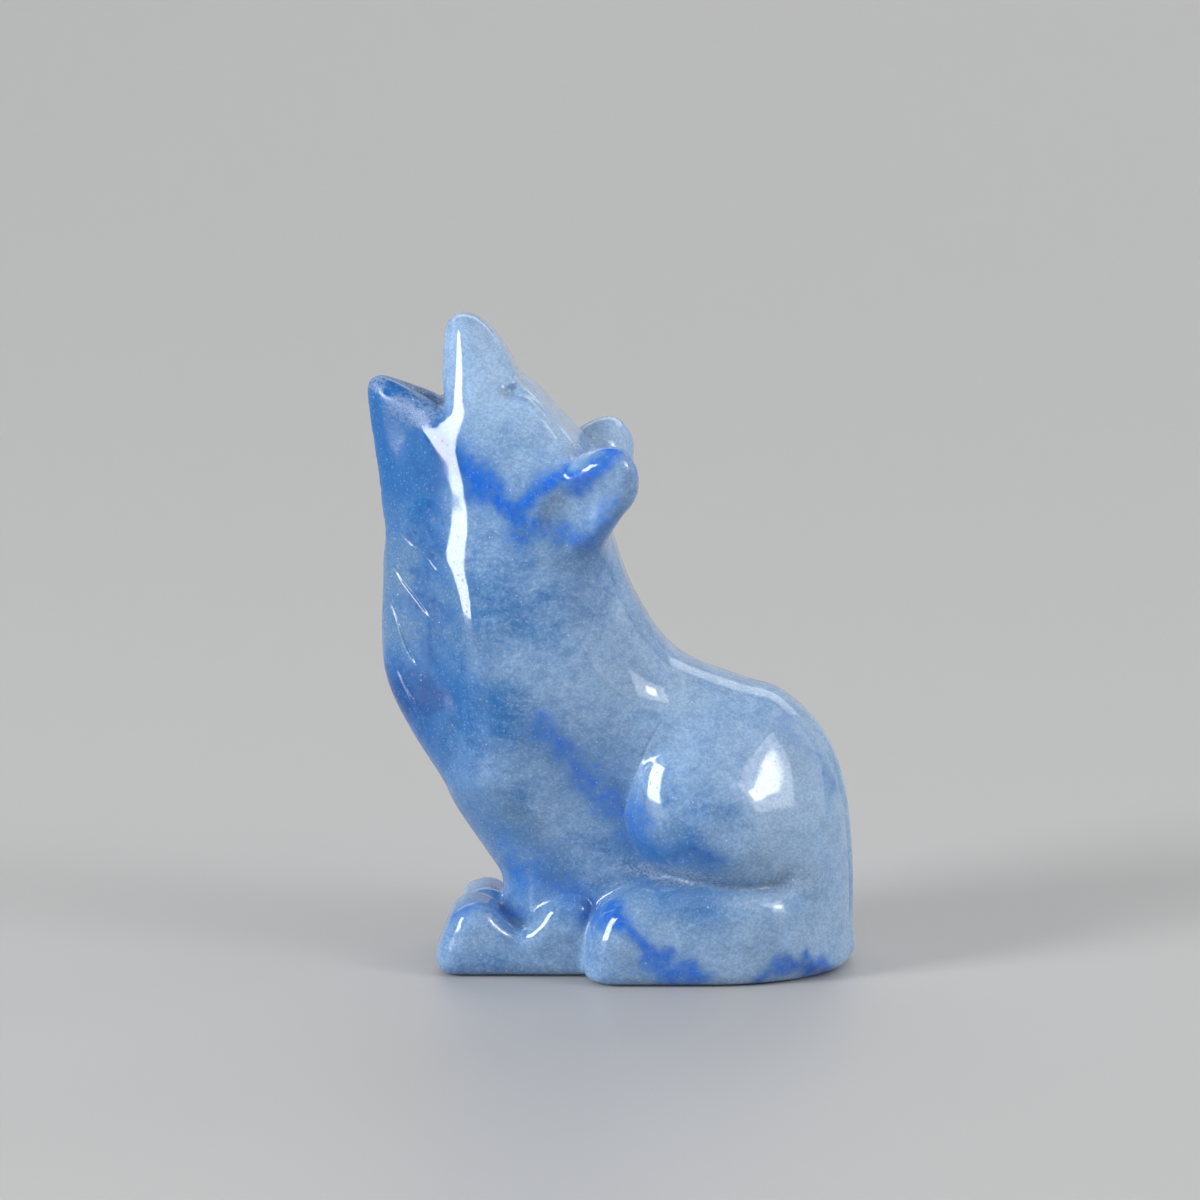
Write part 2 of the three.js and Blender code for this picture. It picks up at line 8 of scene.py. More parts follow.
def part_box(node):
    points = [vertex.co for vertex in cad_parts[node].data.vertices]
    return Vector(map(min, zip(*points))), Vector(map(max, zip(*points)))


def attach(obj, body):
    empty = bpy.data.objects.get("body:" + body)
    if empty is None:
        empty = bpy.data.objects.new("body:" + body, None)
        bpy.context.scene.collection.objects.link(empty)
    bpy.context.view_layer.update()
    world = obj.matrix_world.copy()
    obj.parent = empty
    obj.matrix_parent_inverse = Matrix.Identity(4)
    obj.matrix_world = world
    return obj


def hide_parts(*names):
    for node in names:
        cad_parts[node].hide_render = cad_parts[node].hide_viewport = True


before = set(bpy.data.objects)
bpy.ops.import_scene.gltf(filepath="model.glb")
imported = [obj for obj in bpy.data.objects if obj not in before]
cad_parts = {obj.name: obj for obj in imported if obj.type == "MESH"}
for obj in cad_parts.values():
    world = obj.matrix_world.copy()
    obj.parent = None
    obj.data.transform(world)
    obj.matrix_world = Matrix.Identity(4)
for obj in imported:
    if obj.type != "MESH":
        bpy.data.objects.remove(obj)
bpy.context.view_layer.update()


# The sawn blank
# A slab of the stone is sawn to the outline seen from the side. Its two faces are then brought in
# to the girth of each part, and its edges are rounded off on the wheel.
BLANK = [
    # front of the muzzle, nose, and down the bridge to the brow
    (-12.4, 43.2), (-12.55, 45.0), (-12.5, 47.3), (-12.35, 48.7), (-11.9, 49.5), (-11.1, 49.85),
    (-10.0, 49.6), (-9.1, 48.9), (-8.2, 47.8), (-7.5, 46.6), (-7.0, 45.5),
    # forehead and nape
    (-6.8, 44.95), (-5.8, 44.3), (-4.0, 42.3), (-1.8, 39.7), (-0.3, 35.6), (0.3, 32.6), (2.1, 28.0),
    (5.1, 24.0),
    # back and rump, down to the table
    (10.2, 21.8), (13.0, 20.9), (16.2, 17.8), (17.9, 13.3), (18.5, 3.4), (18.1, -0.7),
    # underside, and up the front of the legs
    (-9.2, -2.0), (-8.6, 3.0), (-8.3, 6.9), (-9.2, 8.4),
    # chest behind the ruff
    (-12.4, 13.7), (-12.6, 16.6), (-13.2, 20.0), (-13.7, 24.0), (-14.3, 28.5), (-15.8, 31.6),
    # throat, lower jaw and floor of the mouth
    (-17.2, 34.6), (-17.4, 37.0), (-17.7, 39.5), (-18.1, 42.4), (-18.1, 44.6), (-17.4, 45.1), (-13.1, 43.3),
    (-12.7, 42.9),
]
# place, (x, z), half width left there, rounding of the edge
GIRTHS = [
    ("nose", (-11.2, 49.0), 2.4, 2.2),
    ("bridge of the muzzle", (-9.4, 46.8), 2.9, 2.6),
    ("front of the muzzle", (-11.8, 45.4), 3.3, 2.4),
    ("root of the muzzle", (-8.8, 44.2), 4.1, 2.8),
    ("corner of the mouth", (-12.6, 43.0), 3.75, 1.2),
    ("below the corner", (-13.3, 41.0), 3.87, 2.4),
    ("side of the muzzle", (-10.6, 43.6), 4.2, 2.8),
    ("front of the cheek", (-11.0, 41.0), 5.1, 3.2),
    ("cheek", (-8.3, 40.6), 5.6, 4.0),
    ("under the eye", (-6.6, 43.2), 4.8, 1.4),
    ("back of the cheek", (-4.6, 41.6), 5.15, 1.3),
    ("brow at the ear", (-2.4, 40.0), 5.2, 1.4),
    ("chin", (-17.8, 44.2), 1.1, 1.1),
    ("lip of the lower jaw", (-15.2, 43.8), 2.5, 1.8),
    ("lower jaw", (-15.2, 41.0), 2.38, 1.9),
    ("front of the jaw", (-17.2, 39.6), 1.15, 1.2),
    ("throat", (-15.6, 36.0), 2.3, 2.2),
    ("side of the throat", (-13.3, 37.2), 4.1, 3.0),
    ("front of the neck", (-11.4, 37.2), 5.55, 4.0),
    ("over the ruff", (-15.0, 32.4), 2.9, 2.6),
    ("beside the ruff", (-12.8, 32.4), 5.3, 3.4),
    ("side of the neck", (-11.2, 32.4), 6.35, 4.2),
    ("middle of the neck", (-9.8, 32.0), 7.05, 4.8),
    ("behind the ruff", (-13.3, 27.6), 5.8, 3.6),
    ("neck", (-6.5, 36.0), 6.9, 5.4),
    ("nape", (-2.6, 34.0), 6.7, 5.4),
    ("over the chest", (-10.4, 27.6), 7.7, 4.6),
    ("side of the chest", (-6.5, 28.0), 8.0, 5.8),
    ("chest", (-10.5, 22.0), 7.3, 6.0),
    ("lower chest", (-10.4, 15.0), 6.5, 5.6),
    ("shoulder", (-2.0, 24.0), 8.05, 6.8),
    ("back of the shoulder", (3.6, 22.6), 7.2, 6.6),
    ("front leg", (-7.5, 7.0), 5.1, 4.4),
    ("flank", (-1.5, 13.0), 5.6, 4.0),
    ("groove over the hind foot", (6.0, 8.1), 6.2, 3.0),
    ("end of that groove", (12.0, 8.3), 6.7, 4.0),
    ("under the haunch", (8.0, 14.0), 6.2, 6.0),
    ("behind the haunch", (12.5, 16.0), 6.5, 6.4),
    ("back", (8.0, 20.0), 7.2, 6.8),
    ("rump", (15.5, 11.0), 7.8, 7.6),
    ("seat", (15.0, 3.0), 8.8, 8.2),
    ("gap behind the paw", (-1.2, 4.5), 5.2, 3.0),
    ("belly", (5.0, 4.5), 6.4, 3.0),
]
LEAST_EDGE = 0.8
TABLE_EDGE = 1.4

# The drawing board on which distances from an outline are laid out, and how far they are softened
BOARD_LOW = (-22.0, -4.0)
BOARD_HIGH = (22.0, 53.0)
BOARD_STEP = 0.2
BOARD_SOFTENING, BOARD_REACH = 0.22, 4


def ramp(at, start, end):
    """Runs smoothly from 0 at start to 1 at end, whichever is the greater."""
    t = np.clip((at - start) / (end - start), 0, 1)
    return t * t * (3 - 2 * t)


def join(a, b, seam):
    """Joins two shapes with a seam of the given softness."""
    near = np.maximum(seam - np.abs(a - b), 0) / seam
    return np.minimum(a, b) - near * near * seam * 0.25


def cut(a, b, seam):
    """Cuts away from a all that lies where b is below 0."""
    return -join(-a, b, seam)


def smooth_line(knots, pitch=0.16, closed=True):
    """Points at an even pitch along a smooth line through the knots."""
    knots = np.array(knots, float)
    if not closed:
        knots = np.vstack([2 * knots[0] - knots[1], knots, 2 * knots[-1] - knots[-2]])
    points = []
    for n in range(len(knots) if closed else len(knots) - 3):
        before, start, end, after = (knots[(n + k) % len(knots)] for k in range(4))
        d0, d1, d2 = (np.linalg.norm(b - a) ** 0.5 for a, b in ((before, start), (start, end), (end, after)))
        leave = ((start - before) / d0 - (end - before) / (d0 + d1) + (end - start) / d1) * d1
        arrive = ((end - start) / d1 - (after - start) / (d1 + d2) + (after - end) / d2) * d1
        t = np.linspace(0, 1, max(int(np.linalg.norm(end - start) / pitch), 2), endpoint=False)[:, None]
        curve = start + leave * t + (3 * (end - start) - 2 * leave - arrive) * t**2
        points.append(curve + (2 * (start - end) + leave + arrive) * t**3)
    if not closed:
        points.append(knots[-2:-1])
    return np.vstack(points)


def distance_to(line, x, z, closed=False):
    """Distance from places in the side view to a line of points."""
    nearest = np.full(np.broadcast(x, z).shape, np.inf)
    ends = np.roll(line, -1, 0) if closed else line[1:]
    for (ax, az), (bx, bz) in zip(line, ends):
        ex, ez = bx - ax, bz - az
        t = np.clip(((x - ax) * ex + (z - az) * ez) / (ex * ex + ez * ez), 0, 1)
        nearest = np.minimum(nearest, (x - ax - t * ex) ** 2 + (z - az - t * ez) ** 2)
    return np.sqrt(nearest)


def board_of(knots):
    """Signed distance from a smooth closed outline over the board, less than 0 inside it."""
    line = smooth_line(knots)
    x = np.arange(BOARD_LOW[0], BOARD_HIGH[0], BOARD_STEP)[:, None]
    z = np.arange(BOARD_LOW[1], BOARD_HIGH[1], BOARD_STEP)[None, :]
    distance = distance_to(line, x, z, closed=True)
    inside = np.zeros(distance.shape, bool)
    for (ax, az), (bx, bz) in zip(line, np.roll(line, -1, 0)):
        if az != bz:
            inside ^= ((az > z) != (bz > z)) & (x < ax + (z - az) * (bx - ax) / (bz - az))
    board = np.where(inside, -distance, distance)
    reach = np.arange(-BOARD_REACH, BOARD_REACH + 1)
    shares = np.exp(-0.5 * (reach * BOARD_STEP / BOARD_SOFTENING) ** 2)
    shares /= shares.sum()
    for axis in (0, 1):
        wide = np.pad(board, [(BOARD_REACH * (axis == k),) * 2 for k in (0, 1)], mode="edge")
        parts = [np.take(wide, range(n, n + board.shape[axis]), axis) for n in range(len(reach))]
        board = sum(share * part for share, part in zip(shares, parts))
    return board


def reading(board, x, z):
    """Reads a board smoothly between its places."""
    near, shares = [], []
    for at, low, count in ((x, BOARD_LOW[0], board.shape[0]), (z, BOARD_LOW[1], board.shape[1])):
        place = np.clip((at - low) / BOARD_STEP, 1, count - 3.001)
        first = np.floor(place).astype(int)
        t = place - first
        near.append(first)
        before, start = ((2 - t) * t - 1) * t / 2, ((3 * t - 5) * t * t + 2) / 2
        end, after = ((4 - 3 * t) * t + 1) * t / 2, (t - 1) * t * t / 2
        shares.append((before, start, end, after))
    total = 0.0
    for i in range(4):
        row = sum(shares[1][j] * board[near[0] + i - 1, near[1] + j - 1] for j in range(4))
        total = total + shares[0][i] * row
    return total


def drawn_through(distance, across, half, edge):
    """An outline drawn through to a half width across, with its edge rounded off."""
    a = distance + edge
    b = np.abs(across) - half + edge
    return np.minimum(np.maximum(a, b), 0) + np.hypot(np.maximum(a, 0), np.maximum(b, 0)) - edge


def egg(x, y, z, centre, radii, pitch, yaw):
    """An egg, pitched up towards the rump and then turned outwards, in degrees."""
    dx, dy, dz = x - centre[0], y - centre[1], z - centre[2]
    c, s = np.cos(np.radians(pitch)), np.sin(np.radians(pitch))
    dx, dz = dx * c + dz * s, dz * c - dx * s
    c, s = np.cos(np.radians(yaw)), np.sin(np.radians(yaw))
    dx, dy = dx * c + dy * s, dy * c - dx * s
    reach = np.sqrt((dx / radii[0]) ** 2 + (dy / radii[1]) ** 2 + (dz / radii[2]) ** 2)
    steep = np.sqrt((dx / radii[0] ** 2) ** 2 + (dy / radii[1] ** 2) ** 2 + (dz / radii[2] ** 2) ** 2)
    return reach * (reach - 1) / (steep + 1e-9)


def bar(x, y, z, ends, radii):
    """A round bar whose radius changes from one end to the other."""
    start, end = np.array(ends, float)
    along = end - start
    px, py, pz = x - start[0], y - start[1], z - start[2]
    t = np.clip((px * along[0] + py * along[1] + pz * along[2]) / (along @ along), 0, 1)
    off = np.sqrt((px - t * along[0]) ** 2 + (py - t * along[1]) ** 2 + (pz - t * along[2]) ** 2)
    return off - (radii[0] + (radii[1] - radii[0]) * t)


def bend(x, z, px, pz):
    """How a thin plate bends away from one place."""
    apart = (x - px) ** 2 + (z - pz) ** 2 + 1e-9
    return apart * np.log(apart)


def girth_weights():
    """Weights of the thin plates that bend smoothly through all the girths."""
    x, z = np.array([place for _, place, _, _ in GIRTHS]).T
    count = len(GIRTHS)
    system = np.zeros((count + 3, count + 3))
    system[:count, :count] = bend(x[:, None], z[:, None], x, z)
    system[:count, count:] = np.stack([np.ones(count), x, z], 1)
    system[count:, :count] = system[:count, count:].T
    values = np.zeros((count + 3, 2))
    values[:count] = [(half, edge) for _, _, half, edge in GIRTHS]
    return np.linalg.solve(system, values)


plates = girth_weights()


def girth_at(x, z):
    """Half width and rounding of the blank at a place, bent smoothly through the girths."""
    half, edge = (level + along * x + up * z for level, along, up in plates[-3:].T)
    for (_, (px, pz), _, _), (its_half, its_edge) in zip(GIRTHS, plates):
        bent = bend(x, z, px, pz)
        half = half + its_half * bent
        edge = edge + its_edge * bent
    return half, np.maximum(edge, LEAST_EDGE)


blank_board = board_of(BLANK)


def blank(x, y, z):
    """The sawn slab, thinned to its girths."""
    half, edge = girth_at(x, z)
    return drawn_through(reading(blank_board, x, z), y, half, edge)


# The ruff, haunches and feet
# These are left standing on the blank where its faces are ground back round them: a keel of hair
# down the throat, the thick pads of the haunches, the hind feet along the table, and the paws.
RUFF = [
    (-13.6, 35.6), (-16.0, 34.2), (-16.95, 32.2), (-17.15, 29.6), (-17.05, 22.6), (-15.2, 18.3),
    (-12.9, 14.7), (-12.3, 14.0), (-11.0, 16.0), (-12.0, 31.0),
]
RUFF_BACK, RUFF_HALF, RUFF_TAPER, RUFF_EDGE = -13.1, 4.3, 0.72, 1.6
RUFF_SEAM, RUFF_TOP_SEAM = 0.35, 1.4
RUFF_FOOT, RUFF_FOOT_RUN = 1.9, (21, 14.5)
RUFF_FADE = (28, 34)
HAUNCH = [
    (4.6, 21.6), (14.6, 18.4), (17.2, 15.2), (17.8, 11.8), (16.4, 8.9), (8.0, 7.4), (1.5, 9.2), (0.7, 12.2),
    (2.7, 20.0),
]
HAUNCH_HALF, HAUNCH_EDGE = 12.0, 3.6
HAUNCH_DOME, HAUNCH_DOME_BLEND = ((8.0, 2.6, 12.0), (9.0, 7.0, 6.7), -45, 0), 1.6
HAUNCH_SEAM, HAUNCH_BACK_SEAM = 0.4, 2.0
HAUNCH_SEAM_SLOPE, HAUNCH_SEAM_HEIGHT, HAUNCH_SEAM_RUN = 0.8, 14, (6, 13)
HIND_FOOT = [
    (-1.7, -1.5), (-1.9, 2.2), (-1.5, 4.4), (-0.6, 5.9), (2.0, 7.3), (5.5, 7.9), (10.0, 7.8), (14.0, 7.2),
    (17.2, 5.4), (18.2, 2.0), (17.9, -1.5),
]
HIND_FOOT_HALF, HIND_FOOT_EDGE, HIND_FOOT_SEAM = 9.4, 2.7, 0.5
HIND_FOOT_ROUND, HIND_FOOT_END = (7.5, 11.2), 0.02
PAW = [
    (-12.5, -1.2), (-13.1, 1.6), (-12.4, 3.6), (-11.7, 5.1), (-10.3, 5.7), (-9.0, 5.4), (-7.9, 4.3),
    (-6.8, 3.6), (-5.9, 4.3), (-4.9, 5.6), (-3.4, 6.3), (-1.7, 6.1), (-1.0, 4.4), (-0.9, -1.5),
]
PAW_HALF, PAW_EDGE, PAW_SEAM = 6.4, 1.7, 0.45
PAW_SET_BACK, PAW_LOWER, PAW_BLEND = 0.7, 0.5, 1.2
FOOT_SPREAD, FOOT_SPREAD_BELOW = 0.18, 3.6
LEG_SEAM_HEIGHTS = (13.5, 8)
LEG_SEAM_FRONT = (-6.5, -8.5)
LEG_SEAM_DEPTH, PAW_SEAM_DEPTH, LEG_SEAM_WIDTH = 1.1, 0.9, 0.8
PAW_TOP = (6.5, 5)
TAIL_HALF, TAIL_SEAM_DEPTH, TAIL_SEAM_WIDTH = 1.5, 0.3, 0.5
TAIL_RUN, TAIL_HEIGHTS = (13.5, 16), (21, 17)

ruff_board = board_of(RUFF)
haunch_board = board_of(HAUNCH)
hind_foot_board = board_of(HIND_FOOT)
paw_board = board_of(PAW)


def with_body_carved(stone, x, y, z):
    """Leaves the ruff, haunches, feet and paws standing, and grinds in the seams between them."""
    soft = RUFF_SEAM + (RUFF_TOP_SEAM - RUFF_SEAM) * ramp(z, *RUFF_FADE)
    half = RUFF_HALF + RUFF_TAPER * (x - RUFF_BACK) - RUFF_FOOT * ramp(z, *RUFF_FOOT_RUN)
    stone = join(stone, drawn_through(reading(ruff_board, x, z), y, half, RUFF_EDGE), soft)
    haunch = drawn_through(reading(haunch_board, x, z), y, HAUNCH_HALF, HAUNCH_EDGE)
    haunch = cut(haunch, -egg(x, np.abs(y), z, *HAUNCH_DOME), HAUNCH_DOME_BLEND)
    to_back = ramp(x + HAUNCH_SEAM_SLOPE * (z - HAUNCH_SEAM_HEIGHT), *HAUNCH_SEAM_RUN)
    stone = join(stone, haunch, HAUNCH_SEAM + (HAUNCH_BACK_SEAM - HAUNCH_SEAM) * to_back)
    right = ramp(y, -PAW_BLEND, PAW_BLEND)
    left_paw = reading(paw_board, x, z)
    right_paw = reading(paw_board, x - PAW_SET_BACK, z + PAW_LOWER)
    under = FOOT_SPREAD * np.maximum(FOOT_SPREAD_BELOW - z, 0)
    paws = drawn_through(left_paw + (right_paw - left_paw) * right, y, PAW_HALF - under, PAW_EDGE)
    stone = join(stone, paws, PAW_SEAM)
    past = np.maximum(x - HIND_FOOT_ROUND[0], 0) / HIND_FOOT_ROUND[1]
    half = HIND_FOOT_HALF * np.sqrt(np.maximum(1 - past * past, HIND_FOOT_END)) - under
    hind_feet = drawn_through(reading(hind_foot_board, x, z), y, half, HIND_FOOT_EDGE)
    stone = join(stone, hind_feet, HIND_FOOT_SEAM)
    shown = ramp(x, *LEG_SEAM_FRONT) * ramp(z, *LEG_SEAM_HEIGHTS)
    depth = LEG_SEAM_DEPTH + PAW_SEAM_DEPTH * ramp(z, *PAW_TOP)
    stone = stone + shown * depth * np.exp(-((y / LEG_SEAM_WIDTH) ** 2))
    shown = ramp(x, *TAIL_RUN) * ramp(z, *TAIL_HEIGHTS)
    off = (np.abs(y) - TAIL_HALF) / TAIL_SEAM_WIDTH
    return stone + TAIL_SEAM_DEPTH * shown * np.exp(-off * off)


# The head
# The ears are left standing and lean out from their roots, each with a shallow thumb hollow. The
# mouth and eyes are ground in, and a line from each eye to the ear parts the forehead and cheek.
EAR = [
    (-6.2, 37.6), (-2.8, 39.8), (-0.2, 41.1), (0.9, 41.0), (2.1, 39.1), (-0.9, 33.2), (-3.4, 32.6),
    (-5.8, 34.0),
]
EAR_ROOT, EAR_ALONG = (-3.8, 36.6), (0.87, 0.5)
EAR_ROOT_OUT, EAR_LEAN, EAR_HALF, EAR_THINNING, EAR_EDGE = 4.9, 0.46, 1.85, 0.08, 1.8
EAR_SEAM, EAR_ROOT_SEAM = 0.9, 2.4
EAR_KNOB, EAR_KNOB_BLEND = ((-0.3, 7.0, 38.3), (1.8, 1.85, 2.2), 60, 25), 1.2
EAR_ROOT_SLOPE, EAR_ROOT_RUN, EAR_FRONT_RUN = 0.7, (38.5, 35), (-2.0, -4.2)
RIGHT_EAR_FORWARD, RIGHT_EAR_LOWER = 0.3, 0.5
EAR_HOLLOW, EAR_HOLLOW_SEAM = ((-2.2, 8.75, 36.8), (3.5, 1.6, 2.0), 36, 27), 1.0
EYE, EYE_SEAM = ((-6.85, 4.2, 44.8), (1.4, 1.4, 0.56), 22, 0), 0.12
MOUTH_ENDS, MOUTH_RADII, MOUTH_SEAM = ((-15.4, 0, 45.4), (-13.0, 0, 43.9)), (0.5, 1.3), 0.5
FOREHEAD = [
    (-7.6, 45.0), (-6.7, 44.75), (-5.67, 44.3), (-4.5, 43.3), (-3.2, 41.7), (-2.2, 40.4), (-1.4, 39.0),
    (0.5, 39.5), (-1.0, 43.5), (-5.0, 47.5), (-7.4, 46.6),
]
FOREHEAD_HALVES, FOREHEAD_RUN, FOREHEAD_BLEND, FOREHEAD_SEAM = (3.7, 4.5), (-7, -2), 0.3, 1.4
NOSE_NOTCH, NOSE_NOTCH_DEPTH, NOSE_NOTCH_WIDTH = (-12.8, 47.75), 0.35, 0.3

ear_board = board_of(EAR)
forehead_board = board_of(FOREHEAD)


def with_head_carved(stone, x, y, z):
    """Leaves the ears standing, and grinds in the brow lines, eyes, nose and mouth."""
    out = np.abs(y)
    narrow, wide = FOREHEAD_HALVES
    beyond = narrow + (wide - narrow) * ramp(x, *FOREHEAD_RUN) - out
    let_in = cut(reading(forehead_board, x, z), -beyond, FOREHEAD_BLEND)
    stone = cut(stone, let_in, FOREHEAD_SEAM)
    right = np.where(y > 0, 1.0, 0.0)
    left_ear = reading(ear_board, x, z)
    right_ear = reading(ear_board, x + RIGHT_EAR_FORWARD, z + RIGHT_EAR_LOWER)
    ex, ez = x + RIGHT_EAR_FORWARD * right, z + RIGHT_EAR_LOWER * right
    along = (ex - EAR_ROOT[0]) * EAR_ALONG[0] + (ez - EAR_ROOT[1]) * EAR_ALONG[1]
    across = (out - EAR_ROOT_OUT - EAR_LEAN * along) / np.hypot(1, EAR_LEAN)
    line = left_ear + (right_ear - left_ear) * right
    ear = drawn_through(line, across, EAR_HALF - EAR_THINNING * along, EAR_EDGE)
    ear = join(ear, egg(ex, out, ez, *EAR_KNOB), EAR_KNOB_BLEND)
    root = np.maximum(ramp(z - EAR_ROOT_SLOPE * x, *EAR_ROOT_RUN), ramp(x, *EAR_FRONT_RUN))
    stone = join(stone, ear, EAR_SEAM + (EAR_ROOT_SEAM - EAR_SEAM) * root)
    stone = cut(stone, egg(ex, out, ez, *EAR_HOLLOW), EAR_HOLLOW_SEAM)
    notch = np.hypot(x - NOSE_NOTCH[0], z - NOSE_NOTCH[1]) / NOSE_NOTCH_WIDTH
    stone = stone + NOSE_NOTCH_DEPTH * np.exp(-notch * notch)
    stone = cut(stone, egg(x, out, z, *EYE), EYE_SEAM)
    return cut(stone, bar(x, y, z, MOUTH_ENDS, MOUTH_RADII), MOUTH_SEAM)


def wolf(x, y, z):
    """The whole figure: less than 0 inside the stone, 0 on its surface."""
    stone = with_body_carved(blank(x, y, z), x, y, z)
    stone = with_head_carved(stone, x, y, z)
    return cut(stone, z, TABLE_EDGE)


# The polished skin
# The stone's surface as one closed skin, with its corners evened out and brought onto the carved
# shape, finer round the engraved hairs, and then softened a little, as the last polish does.
SKIN_PITCH = 0.272
SKIN_LOW, SKIN_HIGH = (-20.3, -11.5, -1.3), (20.3, 11.5, 51.3)
# how many groups a cell may have, and how a corner's value changes when it is moved across
GROUP_LIMIT, MOVED_ACROSS = 2, -0.1
# limits of a step onto the surface, and the share of the way to the middle that evens corners out
LEAST_RISE, LONGEST_STEP, EVENING = 0.05, 0.3, 0.5
# the polish: in and out again, and how near the table the underside is made quite flat
SOFTENING_PUSHES, SOFTENING_ROUNDS = (0.5, -0.52), 6
FLAT_WITHIN = 0.03


def corner_groups(config):
    """The groups of joined corners of a cell that are all inside the stone, or all outside."""
    met, groups = set(), []
    for first in range(8):
        if first in met:
            continue
        group = [first]
        met.add(first)
        for corner in group:
            for near in (corner ^ 1, corner ^ 2, corner ^ 4):
                if near not in met and (config >> near & 1) == (config >> corner & 1):
                    met.add(near)
                    group.append(near)
        groups.append(group)
    return groups


def untangle(values):
    """Moves corners across the surface until no cell of the grid holds two sheets of it."""
    groups = [corner_groups(config) for config in range(256)]
    tangled = np.array([len(group) > GROUP_LIMIT for group in groups])
    offsets = [(corner & 1, corner >> 1 & 1, corner >> 2) for corner in range(8)]
    while True:
        nx, ny, nz = (n - 1 for n in values.shape)
        config = np.zeros((nx, ny, nz), int)
        for corner, (i, j, k) in enumerate(offsets):
            config |= (values[i : i + nx, j : j + ny, k : k + nz] < 0).astype(int) << corner
        cells = np.argwhere(tangled[config])
        if not len(cells):
            return
        for cell in cells:
            places = [tuple(cell + offset) for offset in offsets]
            signs = sum(int(values[place] < 0) << corner for corner, place in enumerate(places))
            if tangled[signs]:
                nearest = min(groups[signs], key=lambda group: max(abs(values[places[c]]) for c in group))
                for corner in nearest:
                    values[places[corner]] *= MOVED_ACROSS


def skin_of(shape):
    """One corner in each grid cell that the surface crosses, and a facet over each crossed edge."""
    axes = [np.arange(low, high, SKIN_PITCH) for low, high in zip(SKIN_LOW, SKIN_HIGH)]
    values = shape(axes[0][:, None, None], axes[1][None, :, None], axes[2][None, None, :])
    untangle(values)
    cells = tuple(n - 1 for n in values.shape)
    crossings = []
    for axis in range(3):
        a = np.moveaxis(np.moveaxis(values, axis, 0)[:-1], 0, axis)
        b = np.moveaxis(np.moveaxis(values, axis, 0)[1:], 0, axis)
        at = np.argwhere((a < 0) != (b < 0))
        va, vb = a[tuple(at.T)], b[tuple(at.T)]
        point = np.stack([axes[k][at[:, k]] for k in range(3)], 1)
        point[:, axis] += SKIN_PITCH * va / (va - vb)
        crossings.append((at, va < 0, point))
    facets, keys, points = [], [], []
    for axis, (at, inward, point) in enumerate(crossings):
        u, v = (axis + 1) % 3, (axis + 2) % 3
        ring = []
        for du, dv in ((1, 1), (0, 1), (0, 0), (1, 0)):
            cell = at.copy()
            cell[:, u] -= du
            cell[:, v] -= dv
            key = np.ravel_multi_index(tuple(cell.T), cells)
            ring.append(key)
            keys.append(key)
            points.append(point)
        ring = np.stack(ring, 1)
        ring[~inward] = ring[~inward][:, ::-1]
        facets.append(ring)
    used, order = np.unique(np.concatenate(keys), return_inverse=True)
    points = np.concatenate(points)
    count = np.bincount(order)
    corners = np.stack([np.bincount(order, points[:, k]) / count for k in range(3)], 1)
    return corners, np.searchsorted(used, np.concatenate(facets))


def slope(shape, corners, apart=0.02):
    """Direction in which the shape's value grows, and how fast, at each corner."""
    steps = apart * np.eye(3)
    rises = [shape(*(corners + step).T) - shape(*(corners - step).T) for step in steps]
    return np.stack(rises, 1) / (2 * apart)


def neighbours_mean(corners, edges):
    """The middle of each corner's neighbours."""
    ends = np.concatenate([edges[:, 0], edges[:, 1]])
    others = np.concatenate([edges[:, 1], edges[:, 0]])
    count = np.bincount(ends, minlength=len(corners))
    return np.stack([np.bincount(ends, corners[others, k], len(corners)) / count for k in range(3)], 1)


def onto(shape, corners, passes=2):
    """Brings every corner onto the shape's surface."""
    for _ in range(passes):
        rise = slope(shape, corners)
        step = -shape(*corners.T) / np.maximum((rise * rise).sum(1), LEAST_RISE)
        corners = corners + rise * np.clip(step, -LONGEST_STEP, LONGEST_STEP)[:, None]
    return corners


def settled(shape, corners, edges, rounds=2):
    """Evens out the facets along the surface."""
    for _ in range(rounds):
        normal = slope(shape, corners)
        normal /= np.linalg.norm(normal, axis=1)[:, None] + 1e-9
        drift = neighbours_mean(corners, edges) - corners
        drift -= (drift * normal).sum(1)[:, None] * normal
        corners = onto(shape, corners + EVENING * drift, 1)
    return corners


def softened(corners, edges):
    """Takes off the finest ripples and keeps the girth."""
    for _ in range(SOFTENING_ROUNDS):
        for push in SOFTENING_PUSHES:
            corners = corners + push * (neighbours_mean(corners, edges) - corners)
    return corners


def edges_of(mesh):
    """The mesh's edges, each as the numbers of its two corners."""
    edges = np.empty(len(mesh.edges) * 2, np.int32)
    mesh.edges.foreach_get("vertices", edges)
    return edges.reshape(-1, 2)


def corners_of(mesh):
    """Where the mesh's corners are."""
    corners = np.empty(len(mesh.vertices) * 3)
    mesh.vertices.foreach_get("co", corners)
    return corners.reshape(-1, 3)


corners, facets = skin_of(wolf)
stone_mesh = bpy.data.meshes.new("wolf_stone")
stone_mesh.from_pydata(corners.tolist(), [], facets.tolist())
edges = edges_of(stone_mesh)
corners = settled(wolf, onto(wolf, corners, 1), edges)
stone_mesh.vertices.foreach_set("co", corners.ravel())

